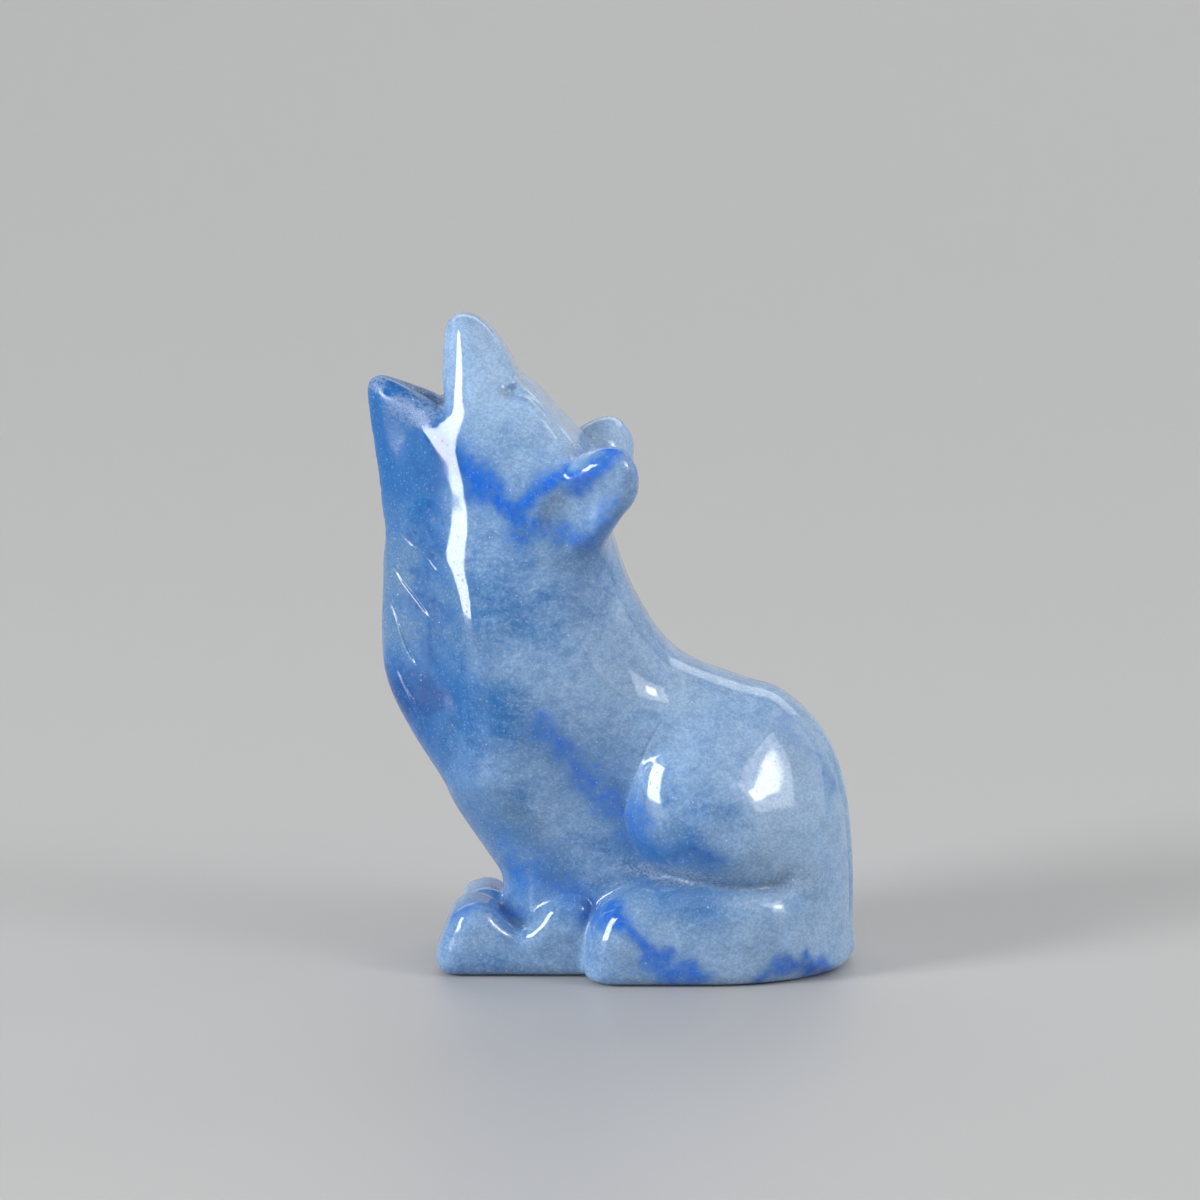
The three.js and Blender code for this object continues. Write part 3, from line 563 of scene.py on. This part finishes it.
# The engraved hairs
# Fine lines cut with the edge of a thin wheel: the hairs that slant down both sides of the ruff, the
# line in front of each haunch and the rim of each eye. They are about a quarter of a millimetre wide
# and are left unpolished, so that they show pale.
HAIRS = [
    [(-16.0, 33.8), (-15.2, 33.1), (-13.8, 32.2), (-12.6, 30.9)],
    [(-16.6, 31.2), (-15.7, 30.1), (-14.4, 28.6), (-13.1, 27.0)],
    [(-16.8, 28.6), (-16.1, 27.1), (-15.3, 25.0), (-14.5, 23.6)],
    [(-16.2, 23.4), (-15.4, 21.8), (-14.5, 20.2), (-13.9, 18.0)],
]
HAUNCH_LINE = [(4.1, 20.4), (3.0, 18.6), (2.0, 16.2), (1.3, 14.0), (0.9, 12.3)]
EYE_RIM = [(-7.5, 45.3), (-7.0, 45.55), (-6.5, 45.35)]
HAIR_CUT, HAUNCH_LINE_CUT, EYE_RIM_CUT = 1.0, 0.6, 1.2
HAIR_DEPTH, HAIR_WIDTH, HAIR_TAPER, HAIR_PITCH = 0.09, 0.13, 0.8, 0.06
# the skin is made finer this near to a line, and the line is looked for from the middle of the stone
FINE_REACH, FINE_ROUNDS = 0.5, 2
BEYOND_THE_SIDE, HALVINGS = 12.0, 30


def on_the_stone(line, side):
    """The line's points on the stone's surface, on one side of it."""
    x, z = line.T
    inner, outer = np.zeros(len(line)), np.full(len(line), BEYOND_THE_SIDE)
    for _ in range(HALVINGS):
        middle = (inner + outer) / 2
        inside = wolf(x, side * middle, z) < 0
        inner, outer = np.where(inside, middle, inner), np.where(inside, outer, middle)
    return np.stack([x, side * inner, z], 1)


line_points, line_cuts, line_edges = [], [], []
all_lines = [(hair, HAIR_CUT) for hair in HAIRS] + [(HAUNCH_LINE, HAUNCH_LINE_CUT), (EYE_RIM, EYE_RIM_CUT)]
for knots, strength in all_lines:
    for side in (-1, 1):
        line = on_the_stone(smooth_line(knots, pitch=HAIR_PITCH, closed=False), side)
        run = np.concatenate([[0], np.cumsum(np.linalg.norm(np.diff(line, axis=0), axis=1))])
        taper = np.minimum(ramp(run, 0, HAIR_TAPER), ramp(run, run[-1], run[-1] - HAIR_TAPER))
        first = sum(map(len, line_points))
        line_points.append(line)
        line_cuts.append(strength * taper)
        line_edges += [(first + n, first + n + 1) for n in range(len(line) - 1)]
line_points = np.concatenate(line_points)
line_cuts = np.concatenate(line_cuts)

near_lines = KDTree(len(line_points))
for number, point in enumerate(line_points):
    near_lines.insert(point, number)
near_lines.balance()
work = bmesh.new()
work.from_mesh(stone_mesh)
for _ in range(FINE_ROUNDS):
    close = [f for f in work.faces if near_lines.find(f.calc_center_median())[2] < FINE_REACH]
    close_edges = list({e for f in close for e in f.edges})
    bmesh.ops.subdivide_edges(work, edges=close_edges, cuts=1, use_grid_fill=True)
    bmesh.ops.triangulate(work, faces=[f for f in work.faces if len(f.verts) > 4])
work.to_mesh(stone_mesh)
work.free()

corners = onto(wolf, corners_of(stone_mesh), 1)
corners = softened(corners, edges_of(stone_mesh))
corners[np.abs(corners[:, 2]) < FLAT_WITHIN, 2] = 0

# Into the frame's metres, exactly within the carved solid's own box
low, high = (np.array(corner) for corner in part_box("wolf"))
scale = (high - low) / (corners.max(0) - corners.min(0))
shift = low - corners.min(0) * scale
stone_mesh.vertices.foreach_set("co", (corners * scale + shift).ravel())
stone_mesh.update()
stone = bpy.data.objects.new("wolf_stone", stone_mesh)
bpy.context.scene.collection.objects.link(stone)

lines_mesh = bpy.data.meshes.new("engraved_lines")
lines_mesh.from_pydata((line_points * scale + shift).tolist(), line_edges, [])
cut_depths = lines_mesh.attributes.new("cut", "FLOAT", "POINT")
cut_depths.data.foreach_set("value", line_cuts)
lines = bpy.data.objects.new("engraved_lines", lines_mesh)
bpy.context.scene.collection.objects.link(lines)


def engraving_tree():
    """Sinks the stone along the lines and keeps how deep each place was cut."""
    tree = bpy.data.node_groups.new("Engraved lines", "GeometryNodeTree")
    sizes = {"Width": "Float", "Depth": "Float"}
    for name, kind in {"Stone": "Geometry", "Lines": "Object", **sizes, "Finish": "Material"}.items():
        tree.interface.new_socket(name=name, in_out="INPUT", socket_type="NodeSocket" + kind)
    tree.interface.new_socket(name="Stone", in_out="OUTPUT", socket_type="NodeSocketGeometry")

    def node(kind, **inputs):
        made = tree.nodes.new(kind)
        for name, value in inputs.items():
            setattr(made, name, value)
        return made

    def sum_of(operation, *values):
        made = node("ShaderNodeMath", operation=operation)
        for socket, value in zip(made.inputs, values):
            if isinstance(value, (int, float)):
                socket.default_value = value
            else:
                tree.links.new(value, socket)
        return made.outputs[0]

    given = node("NodeGroupInput").outputs
    drawn = node("GeometryNodeObjectInfo", transform_space="ORIGINAL")
    tree.links.new(given["Lines"], drawn.inputs["Object"])
    near = node("GeometryNodeProximity", target_element="EDGES")
    tree.links.new(drawn.outputs["Geometry"], near.inputs[0])
    nearest = node("GeometryNodeSampleNearest", domain="POINT")
    tree.links.new(drawn.outputs["Geometry"], nearest.inputs["Geometry"])
    named = node("GeometryNodeInputNamedAttribute", data_type="FLOAT")
    named.inputs["Name"].default_value = "cut"
    strength = node("GeometryNodeSampleIndex", data_type="FLOAT", domain="POINT")
    tree.links.new(drawn.outputs["Geometry"], strength.inputs["Geometry"])
    tree.links.new(named.outputs["Attribute"], strength.inputs["Value"])
    tree.links.new(nearest.outputs["Index"], strength.inputs["Index"])
    reach = sum_of("DIVIDE", near.outputs["Distance"], given["Width"])
    fall = sum_of("EXPONENT", sum_of("MULTIPLY", sum_of("MULTIPLY", reach, reach), -1.0))
    cut_here = sum_of("MULTIPLY", fall, strength.outputs[0])
    sink = node("ShaderNodeVectorMath", operation="SCALE")
    tree.links.new(node("GeometryNodeInputNormal").outputs["Normal"], sink.inputs[0])
    depth = sum_of("MULTIPLY", cut_here, given["Depth"])
    tree.links.new(sum_of("MULTIPLY", depth, -1.0), sink.inputs["Scale"])
    moved = node("GeometryNodeSetPosition")
    tree.links.new(given["Stone"], moved.inputs["Geometry"])
    tree.links.new(sink.outputs[0], moved.inputs["Offset"])
    kept = node("GeometryNodeStoreNamedAttribute", data_type="FLOAT", domain="POINT")
    kept.inputs["Name"].default_value = "engraved"
    tree.links.new(moved.outputs[0], kept.inputs["Geometry"])
    tree.links.new(cut_here, kept.inputs["Value"])
    whole = node("GeometryNodeRealizeInstances")
    tree.links.new(kept.outputs[0], whole.inputs[0])
    finished = node("GeometryNodeSetMaterial")
    tree.links.new(whole.outputs[0], finished.inputs["Geometry"])
    tree.links.new(given["Finish"], finished.inputs["Material"])
    tree.links.new(finished.outputs[0], node("NodeGroupOutput").inputs[0])
    return tree


# The stone's colours
# Blue aventurine is a sugary quartz coloured by fine blue needles. It is paler where it is thin and
# clear, and the needles gather in royal blue bands that run right through the stone. Some light and
# shade is painted in too: the right side is painted paler as painted light, the groove over the hind
# foot is painted darker as painted shade, the bands are darker on the ruff partly as painted shade,
# and the mica flecks are painted white partly as their glints.
# band, points in the side view on the left side, half width, strength
BANDS = [
    ("under the cheek", [(-11.9, 41.6), (-11.3, 40.0), (-10.0, 38.4), (-8.7, 37.2), (-7.2, 36.2)], 1.05, 1.0),
    (
        "up to the ear",
        [(-7.2, 36.2), (-5.7, 37.0), (-4.5, 38.1), (-2.8, 38.2), (-1.9, 39.0), (-0.9, 40.0), (0.8, 40.6)],
        0.85, 1.0,
    ),
    (
        "below it",
        [(-7.3, 36.0), (-7.6, 34.7), (-5.7, 34.6), (-4.1, 33.9), (-2.2, 34.3), (-0.6, 35.6)],
        0.9, 0.75,
    ),
    (
        "down the ruff",
        [(-13.3, 39.6), (-12.9, 37.0), (-13.4, 33.2), (-13.1, 29.3), (-12.9, 24.5), (-13.2, 19.0)],
        1.0, 0.75,
    ),
    ("blob on the ruff", [(-16.6, 24.0), (-15.0, 22.8), (-13.7, 22.0)], 1.7, 1.15),
    (
        "down the chest",
        [(-12.6, 21.0), (-11.6, 16.5), (-9.2, 12.8), (-6.8, 9.8), (-4.5, 7.4), (-1.6, 6.0)],
        1.0, 0.58,
    ),
    ("over the leg", [(-6.0, 9.0), (-3.6, 7.2), (-1.4, 5.6)], 1.3, 0.7),
    ("across the flank", [(-5.4, 19.0), (-2.4, 16.5), (0.6, 13.6), (1.4, 11.2)], 1.1, 0.78),
    ("under the haunch", [(1.2, 11.4), (3.6, 9.9), (7.0, 9.3)], 0.9, 0.8),
    ("top of the paw", [(-12.2, 5.4), (-9.6, 5.9), (-7.0, 5.6)], 0.8, 0.6),
    ("down the hind foot", [(-0.45, 5.3), (0.7, 3.8), (2.6, 1.8), (4.5, 0.65), (6.4, -0.1)], 0.75, 0.95),
    ("top of the hind foot", [(3.0, 7.4), (5.4, 6.4), (7.2, 5.6)], 1.1, 0.5),
    ("back of the hind foot", [(11.3, -0.1), (12.5, 1.0), (14.0, 1.6), (15.4, 1.5), (16.4, 0.8)], 0.7, 0.95),
    ("down the back", [(13.6, 20.2), (15.6, 18.2), (17.4, 15.2)], 0.8, 0.5),
    ("throat and jaw", [(-16.4, 43.8), (-15.6, 40.0), (-15.6, 36.0)], 2.4, 0.55),
]
BAND_SLANT = (0.22, 0.3)
BAND_WAVES = [(0.42, 1.15, 0.5, 0.4), (0.22, 2.6, -1.7, 1.9), (0.12, 5.1, 3.4, 0.7)]
BAND_SPREAD, BAND_FADE, BAND_PITCH = 1.35, 0.7, 0.6
BAND_FACE = -6.5
# place, (x, z), how pale the stone is there, how grey, spread
CLEARNESS = [
    ("muzzle", (-9.5, 47.0), 0.95, 0.3, 2.0),
    ("forehead", (-4.5, 42.5), 0.95, 0.3, 1.6),
    ("cheek", (-6.0, 40.0), 0.62, 0.3, 1.5),
    ("ears", (0.2, 38.6), 0.6, 0.3, 1.4),
    ("lower jaw", (-16.0, 41.5), -0.35, 0.0, 2.5),
    ("neck", (-7.0, 33.0), 0.42, 0.1, 2.5),
    ("nape", (-1.5, 31.0), 0.5, 0.2, 2.0),
    ("ruff", (-15.6, 29.0), -0.05, 1.1, 2.0),
    ("shoulder", (-3.0, 24.0), 0.78, 0.35, 3.0),
    ("chest", (-10.5, 20.0), 0.0, 0.1, 3.0),
    ("lower chest", (-9.8, 12.0), 0.15, 1.1, 1.6),
    ("flank", (-3.5, 15.0), 0.6, 0.3, 2.0),
    ("haunch", (7.0, 15.5), 0.6, 0.25, 3.0),
    # painted shade: the groove over the hind foot, under the haunch, is made deep in colour
    ("painted shade in the groove over the foot", (5.0, 8.6), 0.15, 0.8, 0.35),
    ("top of the haunch", (9.0, 19.0), 0.8, 0.3, 2.0),
    ("rump", (15.5, 14.0), 1.1, 0.4, 2.5),
    ("front leg", (-8.5, 8.5), 0.42, 0.2, 2.0),
    ("paw", (-7.0, 2.5), 0.6, 0.3, 2.0),
    ("hind foot", (5.0, 4.0), 0.75, 0.3, 2.5),
    ("end of the foot", (13.5, 4.0), 0.8, 0.3, 2.0),
]
CLEARNESS_FADE = 1.8
# painted light: the right side of the stone is made paler, as if more light falls on it, and the run over
# which that grows
RIGHT_SIDE_PAINTED_LIGHT, RIGHT_SIDE_LIGHT_RUN = 0.3, (2, 6)
# where the polish doesn't reach: middle, radii, strength
GROUND_PLACES = [
    ("floor of the mouth", (-13.8, 0, 43.6), (1.9, 3.4, 1.3), 1.0),
    ("tip of the lower jaw", (-17.6, 0, 44.7), (1.1, 2.2, 0.9), 1.0),
    ("lip of the lower jaw", (-14.8, 2.8, 43.0), (2.3, 3.0, 1.4), 0.9),
    ("root of the ear", (-2.0, 4.6, 40.0), (1.5, 1.6, 1.5), 0.9),
    ("over the hind foot", (5.0, 7.0, 8.4), (5.6, 3.0, 0.9), 1.0),
    ("behind the haunch", (14.0, 8.0, 8.0), (3.2, 3.0, 1.4), 0.7),
    ("back of the haunch", (12.8, 9.0, 17.2), (1.1, 3.0, 2.0), 0.35),
    ("beside the eye", (-6.4, 4.2, 45.25), (1.3, 1.2, 0.5), 0.8),
]
GROUND_RUN = (1.25, 0.6)
DEEP_BLUE, CLEAR_BLUE = (0.015, 0.150, 0.430, 1), (0.360, 0.530, 0.755, 1)
GREY_QUARTZ, HAZE_BLUE = (0.170, 0.290, 0.440, 1), (0.020, 0.175, 0.530, 1)
# royal blue of the bands where the stone is deep, made darker partly as painted shade, as on the ruff
ROYAL_IN_DEEP_AND_SHADE, ROYAL_IN_CLEAR = (0.002, 0.072, 0.290, 1), (0.004, 0.140, 0.680, 1)
DARK_GRAIN, FULL_GRAIN, LIGHT_GRAIN = (0.42, 0.43, 0.46, 1), (1.0, 1.0, 1.0, 1), (0.48, 0.62, 0.80, 1)
# the mica white stands partly for the flecks' glints, painted into the colour
GROUND_GREY, MICA_WHITE_AND_GLINT = (0.36, 0.42, 0.51, 1), (0.80, 0.86, 0.94, 1)
POLISH, PIT_DEPTH = 0.07, 0.00005


def band_strength(x, y, z):
    """How strongly a blue band colours each place. The bands are sheets that slant through the stone."""
    bx = x + BAND_SLANT[0] * (y - BAND_FACE)
    bz = z + BAND_SLANT[1] * (y - BAND_FACE)
    for far, quick, across, start in BAND_WAVES:
        aside = far * np.sin(quick * bz + across * y + start)
        up = far * np.sin(quick * bx - across * y)
        bx, bz = bx + aside, bz + up
    strongest = np.zeros(len(x))
    for _, knots, half, strength in BANDS:
        off = distance_to(smooth_line(knots, BAND_PITCH, closed=False), bx, bz) / (half * BAND_SPREAD)
        strongest = np.maximum(strongest, strength * np.exp(-BAND_FADE * off * off))
    return strongest


def clearness(x, z):
    """How pale and how grey the stone is at each place."""
    pale, grey, whole = 0.0, 0.0, 0.0
    for _, (px, pz), its_pale, its_grey, spread in CLEARNESS:
        share = ((x - px) ** 2 + (z - pz) ** 2 + spread**2) ** -CLEARNESS_FADE
        pale, grey, whole = pale + share * its_pale, grey + share * its_grey, whole + share
    return pale / whole, grey / whole


def ground_finish(x, y, z):
    """How far each place is left as the wheel ground it, from 0, polished, to 1."""
    finish = np.zeros(len(x))
    places = np.stack([x, np.abs(y), z], 1)
    for _, middle, radii, strength in GROUND_PLACES:
        reach = np.linalg.norm((places - middle) / radii, axis=1)
        finish = np.maximum(finish, strength * ramp(reach, *GROUND_RUN))
    return finish


pale, grey = clearness(corners[:, 0], corners[:, 2])
# painted light: the right side is made paler, on top of the stone's own paleness
pale = pale + RIGHT_SIDE_PAINTED_LIGHT * ramp(corners[:, 1], *RIGHT_SIDE_LIGHT_RUN)
for name, values in (
    ("band", band_strength(*corners.T)),
    # the 'clear' layer holds the stone's paleness together with the painted light on the right side
    ("clear", pale),
    ("grey", grey),
    ("ground", ground_finish(*corners.T)),
):
    layer = stone_mesh.attributes.new(name, "FLOAT", "POINT")
    layer.data.foreach_set("value", values)


def shading(name):
    """A new material, and short ways to add its nodes."""
    material = bpy.data.materials.new(name)
    material.use_nodes = True
    tree = material.node_tree
    tree.nodes.clear()

    def node(kind, links=(), **settings):
        made = tree.nodes.new("ShaderNode" + kind)
        values = settings.pop("values", {})
        for key, value in settings.items():
            setattr(made, key, value)
        for key, value in values.items():
            made.inputs[key].default_value = value
        for key, source in dict(links).items():
            tree.links.new(source, made.inputs[key])
        return made

    return material, node


def aventurine():
    """Sugary blue quartz with royal blue bands, flecks of mica painted white partly as their glints, and tiny
    pits, under a high polish.
    """
    material, node = shading("blue_aventurine")

    def give(made, values):
        """Gives each socket a number, a colour or another node's output."""
        for socket, value in values:
            if hasattr(value, "is_linked"):
                made.id_data.links.new(value, socket)
            else:
                socket.default_value = value

    def mixed(share, a, b, blend="MIX"):
        """Mixes colour b over a by the share."""
        made = node("Mix", data_type="RGBA", blend_type=blend, clamp_factor=True)
        give(made, ((made.inputs[0], share), (made.inputs[6], a), (made.inputs[7], b)))
        return made.outputs[2]

    def number(operation, *values, clamp=False):
        """Works out one step of a sum."""
        made = node("Math", operation=operation, use_clamp=clamp)
        give(made, zip(made.inputs, values))
        return made.outputs[0]

    def swayed(base, pattern, by):
        """The base, made more and less by a pattern that runs round a half."""
        return number("ADD", base, number("MULTIPLY", number("SUBTRACT", pattern, 0.5), by))

    def stepped(value, low, high, to_low=0.0, to_high=1.0):
        """Runs smoothly from one number to another while the value runs from low to high."""
        made = node(
            "MapRange",
            {"Value": value},
            interpolation_type="SMOOTHSTEP",
            values={"From Min": low, "From Max": high, "To Min": to_low, "To Max": to_high},
        )
        return made.outputs[0]

    def layer(name):
        """What was kept on the stone under this name."""
        return node("Attribute", attribute_name=name).outputs["Fac"]

    place = node("TexCoord").outputs["Object"]
    millimetres = node("Mapping", {"Vector": place}, values={"Scale": (1000, 1000, 1000)}).outputs[0]

    def noise(scale, detail=2.0, rough=0.5, distortion=0.0, stretch=None):
        """Clouds that run through the stone, with so many to the millimetre."""
        vector = millimetres
        if stretch:
            vector = node("Mapping", {"Vector": millimetres}, values={"Scale": stretch}).outputs[0]
        values = {"Scale": scale, "Detail": detail, "Roughness": rough, "Distortion": distortion}
        return node("TexNoise", {"Vector": vector}, values=values).outputs["Fac"]

    clouds = noise(0.16, 3.0, 0.55, 0.8)
    wisps = noise(0.7, 5.0, 0.66, 0.6, (1.0, 1.0, 1.5))
    clumps = noise(1.9, 4.0, 0.62)
    sugar = noise(5.6, 3.0, 0.72)
    grains = node("TexVoronoi", {"Vector": millimetres}, values={"Scale": 6.5})
    grain_tone = node("SeparateColor", {"Color": grains.outputs["Color"]}).outputs[0]
    flecks = node("TexVoronoi", {"Vector": millimetres}, values={"Scale": 2.3})
    fleck_kind = node("SeparateColor", {"Color": flecks.outputs["Color"]}).outputs[1]
    holes = node("TexVoronoi", {"Vector": millimetres}, values={"Scale": 2.7})
    hole_kind = node("SeparateColor", {"Color": holes.outputs["Color"]}).outputs[0]

    names = ("ground", "engraved", "band", "clear", "grey")
    # 'clear' is the stone's paleness with the painted light of the right side added in
    ground, engraved, band, clear, grey = (layer(name) for name in names)

    # the body colour, from deep to clear
    tone = swayed(swayed(swayed(clear, clouds, 1.0), wisps, 0.8), clumps, 0.5)
    colour = mixed(stepped(tone, -0.1, 1.1), DEEP_BLUE, CLEAR_BLUE)
    # greyer quartz between the needles
    greyer = swayed(grey, noise(0.3, 4.0, 0.6, 0.6), 1.5)
    colour = mixed(stepped(greyer, 0.1, 1.3, 0.0, 0.75), colour, GREY_QUARTZ)
    # royal blue bands, ragged and broken up, with a haze of blue round them
    ragged = swayed(swayed(band, wisps, 1.1), clumps, 0.8)
    colour = mixed(stepped(ragged, 0.05, 1.0, 0.0, 0.55), colour, HAZE_BLUE)
    ragged = swayed(swayed(ragged, sugar, 0.7), grain_tone, 0.25)
    # the bands are darker where the stone is deep, partly as painted shade on the ruff
    royal = mixed(stepped(clear, 0.1, 0.6), ROYAL_IN_DEEP_AND_SHADE, ROYAL_IN_CLEAR)
    colour = mixed(stepped(ragged, 0.42, 1.25, 0.0, 0.95), colour, royal)
    # sugary grains
    speckle = number("ADD", number("MULTIPLY", sugar, 0.6), number("MULTIPLY", grain_tone, 0.4))
    speckle = stepped(speckle, 0.3, 0.7)
    colour = mixed(0.38, colour, mixed(speckle, DARK_GRAIN, FULL_GRAIN), "MULTIPLY")
    light_grain = number("MULTIPLY", stepped(grain_tone, 0.72, 0.95), stepped(sugar, 0.48, 0.66))
    colour = mixed(number("MULTIPLY", light_grain, 0.28), colour, LIGHT_GRAIN)
    # places left ground are paler and grainy, and their white flecks below are made bigger, painted as
    # sparkle
    rubbed = number("MAXIMUM", ground, number("MULTIPLY", engraved, 0.42))
    broken = number("ADD", number("MULTIPLY", sugar, 0.9), number("MULTIPLY", grain_tone, 0.35))
    broken = number("ADD", broken, number("MULTIPLY", rubbed, 0.2))
    patchy = number("MULTIPLY", rubbed, stepped(broken, 0.55, 0.95))
    colour = mixed(number("MULTIPLY", patchy, 0.4), colour, GROUND_GREY)
    # white flecks of mica, most of them only a hair's breadth; their white is partly a painted glint, the
    # sparkle of the mica
    size = number("MULTIPLY", stepped(fleck_kind, 0.80, 1.0), 0.16)
    size = number("ADD", size, number("MULTIPLY", rubbed, 0.14))
    from_fleck = number("ADD", flecks.outputs["Distance"], number("MULTIPLY", sugar, 0.09))
    mica_fleck_and_glint = number("LESS_THAN", from_fleck, size)
    colour = mixed(number("MULTIPLY", mica_fleck_and_glint, 0.6), colour, MICA_WHITE_AND_GLINT)

    # glossy, with tiny pits where a grain has come out, and matt where left ground
    scattered = stepped(swayed(hole_kind, wisps, 0.9), 0.46, 0.54)
    pit = number("MULTIPLY", stepped(holes.outputs["Distance"], 0.17, 0.07), scattered)
    rough = number("ADD", POLISH, number("MULTIPLY", patchy, 0.42))
    rough = number("ADD", rough, number("MULTIPLY", pit, 0.3), clamp=True)
    grainy = number("ADD", 0.05, number("MULTIPLY", rubbed, 1.8))
    height = number("ADD", number("MULTIPLY", pit, -1.0), number("MULTIPLY", sugar, grainy))
    bump = node("Bump", {"Height": height}, values={"Strength": 0.5, "Distance": PIT_DEPTH})

    surface = node(
        "BsdfPrincipled",
        {"Base Color": colour, "Roughness": rough, "Normal": bump.outputs[0]},
        values={
            "IOR": 1.545,
            "Subsurface Weight": 0.35,
            "Subsurface Radius": (0.55, 0.85, 1.3),
            "Subsurface Scale": 0.0012,
        },
    )
    node("OutputMaterial", {"Surface": surface.outputs[0]})
    return material


# The finished stone
# The lines are cut into the coloured stone, and it takes its finish: glossy, with the cuts and the
# narrow hollows left as the wheel ground them.
engraving = engraving_tree()
given = {item.name: item.identifier for item in engraving.interface.items_tree if item.in_out == "INPUT"}
modifier = stone.modifiers.new("Engraved lines", "NODES")
modifier.node_group = engraving
modifier[given["Lines"]] = lines
modifier[given["Width"]] = HAIR_WIDTH * scale[0]
modifier[given["Depth"]] = HAIR_DEPTH * scale[0]
modifier[given["Finish"]] = aventurine()
graph = bpy.context.evaluated_depsgraph_get()
engraved_mesh = bpy.data.meshes.new_from_object(stone.evaluated_get(graph), depsgraph=graph)
stone.modifiers.remove(modifier)
stone.data = engraved_mesh
bpy.data.meshes.remove(stone_mesh)
bpy.data.objects.remove(lines)
engraved_mesh.name = "wolf_stone"
engraved_mesh.shade_smooth()
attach(stone, "root")
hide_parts("wolf")

# The table
# A pale satin sheet that runs back under the figure and curves up behind it.
TABLE_FRONT, TABLE_BACK, TABLE_SIDE = -0.9, 0.55, 1.6
SWEEP_RADIUS, SWEEP_STEPS, SWEEP_TOP = 0.35, 24, 1.1
SHEET_GREY = (0.445, 0.445, 0.445, 1)

profile = [(TABLE_FRONT, 0.0), (TABLE_BACK, 0.0)]
for turn in np.linspace(0, np.pi / 2, SWEEP_STEPS)[1:]:
    profile.append((TABLE_BACK + SWEEP_RADIUS * np.sin(turn), SWEEP_RADIUS * (1 - np.cos(turn))))
profile.append((TABLE_BACK + SWEEP_RADIUS, SWEEP_TOP))
table_mesh = bpy.data.meshes.new("table")
table_corners = [(side * TABLE_SIDE, y, z) for y, z in profile for side in (-1, 1)]
table_faces = [(2 * n, 2 * n + 1, 2 * n + 3, 2 * n + 2) for n in range(len(profile) - 1)]
table_mesh.from_pydata(table_corners, [], table_faces)
table_mesh.shade_smooth()
table = bpy.data.objects.new("table", table_mesh)
bpy.context.scene.collection.objects.link(table)


def satin_sheet():
    """Pale grey plastic sheet with a satin face."""
    material, node = shading("satin_sheet")
    surface = node(
        "BsdfPrincipled",
        values={"Base Color": SHEET_GREY, "Roughness": 0.42, "IOR": 1.45},
    )
    node("OutputMaterial", {"Surface": surface.outputs[0]})
    return material


table_mesh.materials.append(satin_sheet())

# The lights
# A tall soft box stands to the left of the camera and a small bright one, in a wider dim one, to its
# right. Wide sheets light the figure softly from the right, from above and from behind.
FIGURE, FAR_TABLE = Vector((0, 0, 0.022)), Vector((0, 0.72, 0))
# name, aimed at, degrees to the right of the camera's side and up, distance, size, watts
LAMPS = [
    ("left_box", FIGURE, -62, 17, 0.75, (0.23, 0.62), 6.8),
    ("right_box", FIGURE, 62, 29, 0.75, (0.11, 0.11), 0.45),
    ("right_box_rim", FIGURE, 62, 29, 0.76, (0.27, 0.34), 1.0),
    ("right_sheet", FIGURE, 78, 30, 1.3, (1.9, 1.4), 7.2),
    ("ceiling", FIGURE, 10, 62, 1.1, (1.7, 1.6), 1.6),
    ("ceiling_middle", FIGURE, 10, 60, 1.09, (1.0, 0.9), 1.1),
    ("back_sheet", FIGURE, 130, 36, 1.1, (1.5, 1.2), 2.0),
    ("far_sheet", FAR_TABLE, 180, 70, 0.55, (1.6, 0.8), 6.6),
]


def pointed(thing, place, at):
    """Puts a lamp or the camera at a place, looking at another."""
    thing.location = place
    thing.rotation_euler = (at - place).to_track_quat("-Z", "Y").to_euler()


for name, aim, azimuth, height, distance, size, watts in LAMPS:
    light = bpy.data.lights.new(name, "AREA")
    light.shape = "RECTANGLE"
    light.size, light.size_y = size
    light.energy = watts
    lamp = bpy.data.objects.new(name, light)
    bpy.context.scene.collection.objects.link(lamp)
    turn, rise = np.radians(azimuth), np.radians(height)
    towards = Vector((np.sin(turn) * np.cos(rise), -np.cos(turn) * np.cos(rise), np.sin(rise)))
    pointed(lamp, aim + towards * distance, aim)

ROOM_COLOUR, ROOM_STRENGTH = (0.93, 0.96, 1.0, 1), 0.16
room = bpy.data.worlds.new("room")
room.use_nodes = True
background = room.node_tree.nodes["Background"].inputs
background["Color"].default_value = ROOM_COLOUR
background["Strength"].default_value = ROOM_STRENGTH
bpy.context.scene.world = room
bpy.context.scene.view_settings.view_transform = "Standard"

# The camera
# It stands off at the wolf's left and looks a little down, with a long lens.
CAMERA_HEIGHT, CAMERA_DISTANCE = 12.0, 0.56
LOOK_AT = Vector((-0.000989, 0.005676, 0.0267))
PIXELS, PIXELS_PER_METRE = 1200, 13150
FILM_WIDTH, NEAREST = 36, 0.02

camera = bpy.data.objects.new("camera", bpy.data.cameras.new("camera"))
bpy.context.scene.collection.objects.link(camera)
rise = np.radians(CAMERA_HEIGHT)
pointed(camera, LOOK_AT + Vector((0, -np.cos(rise), np.sin(rise))) * CAMERA_DISTANCE, LOOK_AT)
camera.data.sensor_width = FILM_WIDTH
camera.data.lens = PIXELS_PER_METRE * CAMERA_DISTANCE * FILM_WIDTH / PIXELS
camera.data.clip_start = NEAREST
bpy.context.scene.camera = camera
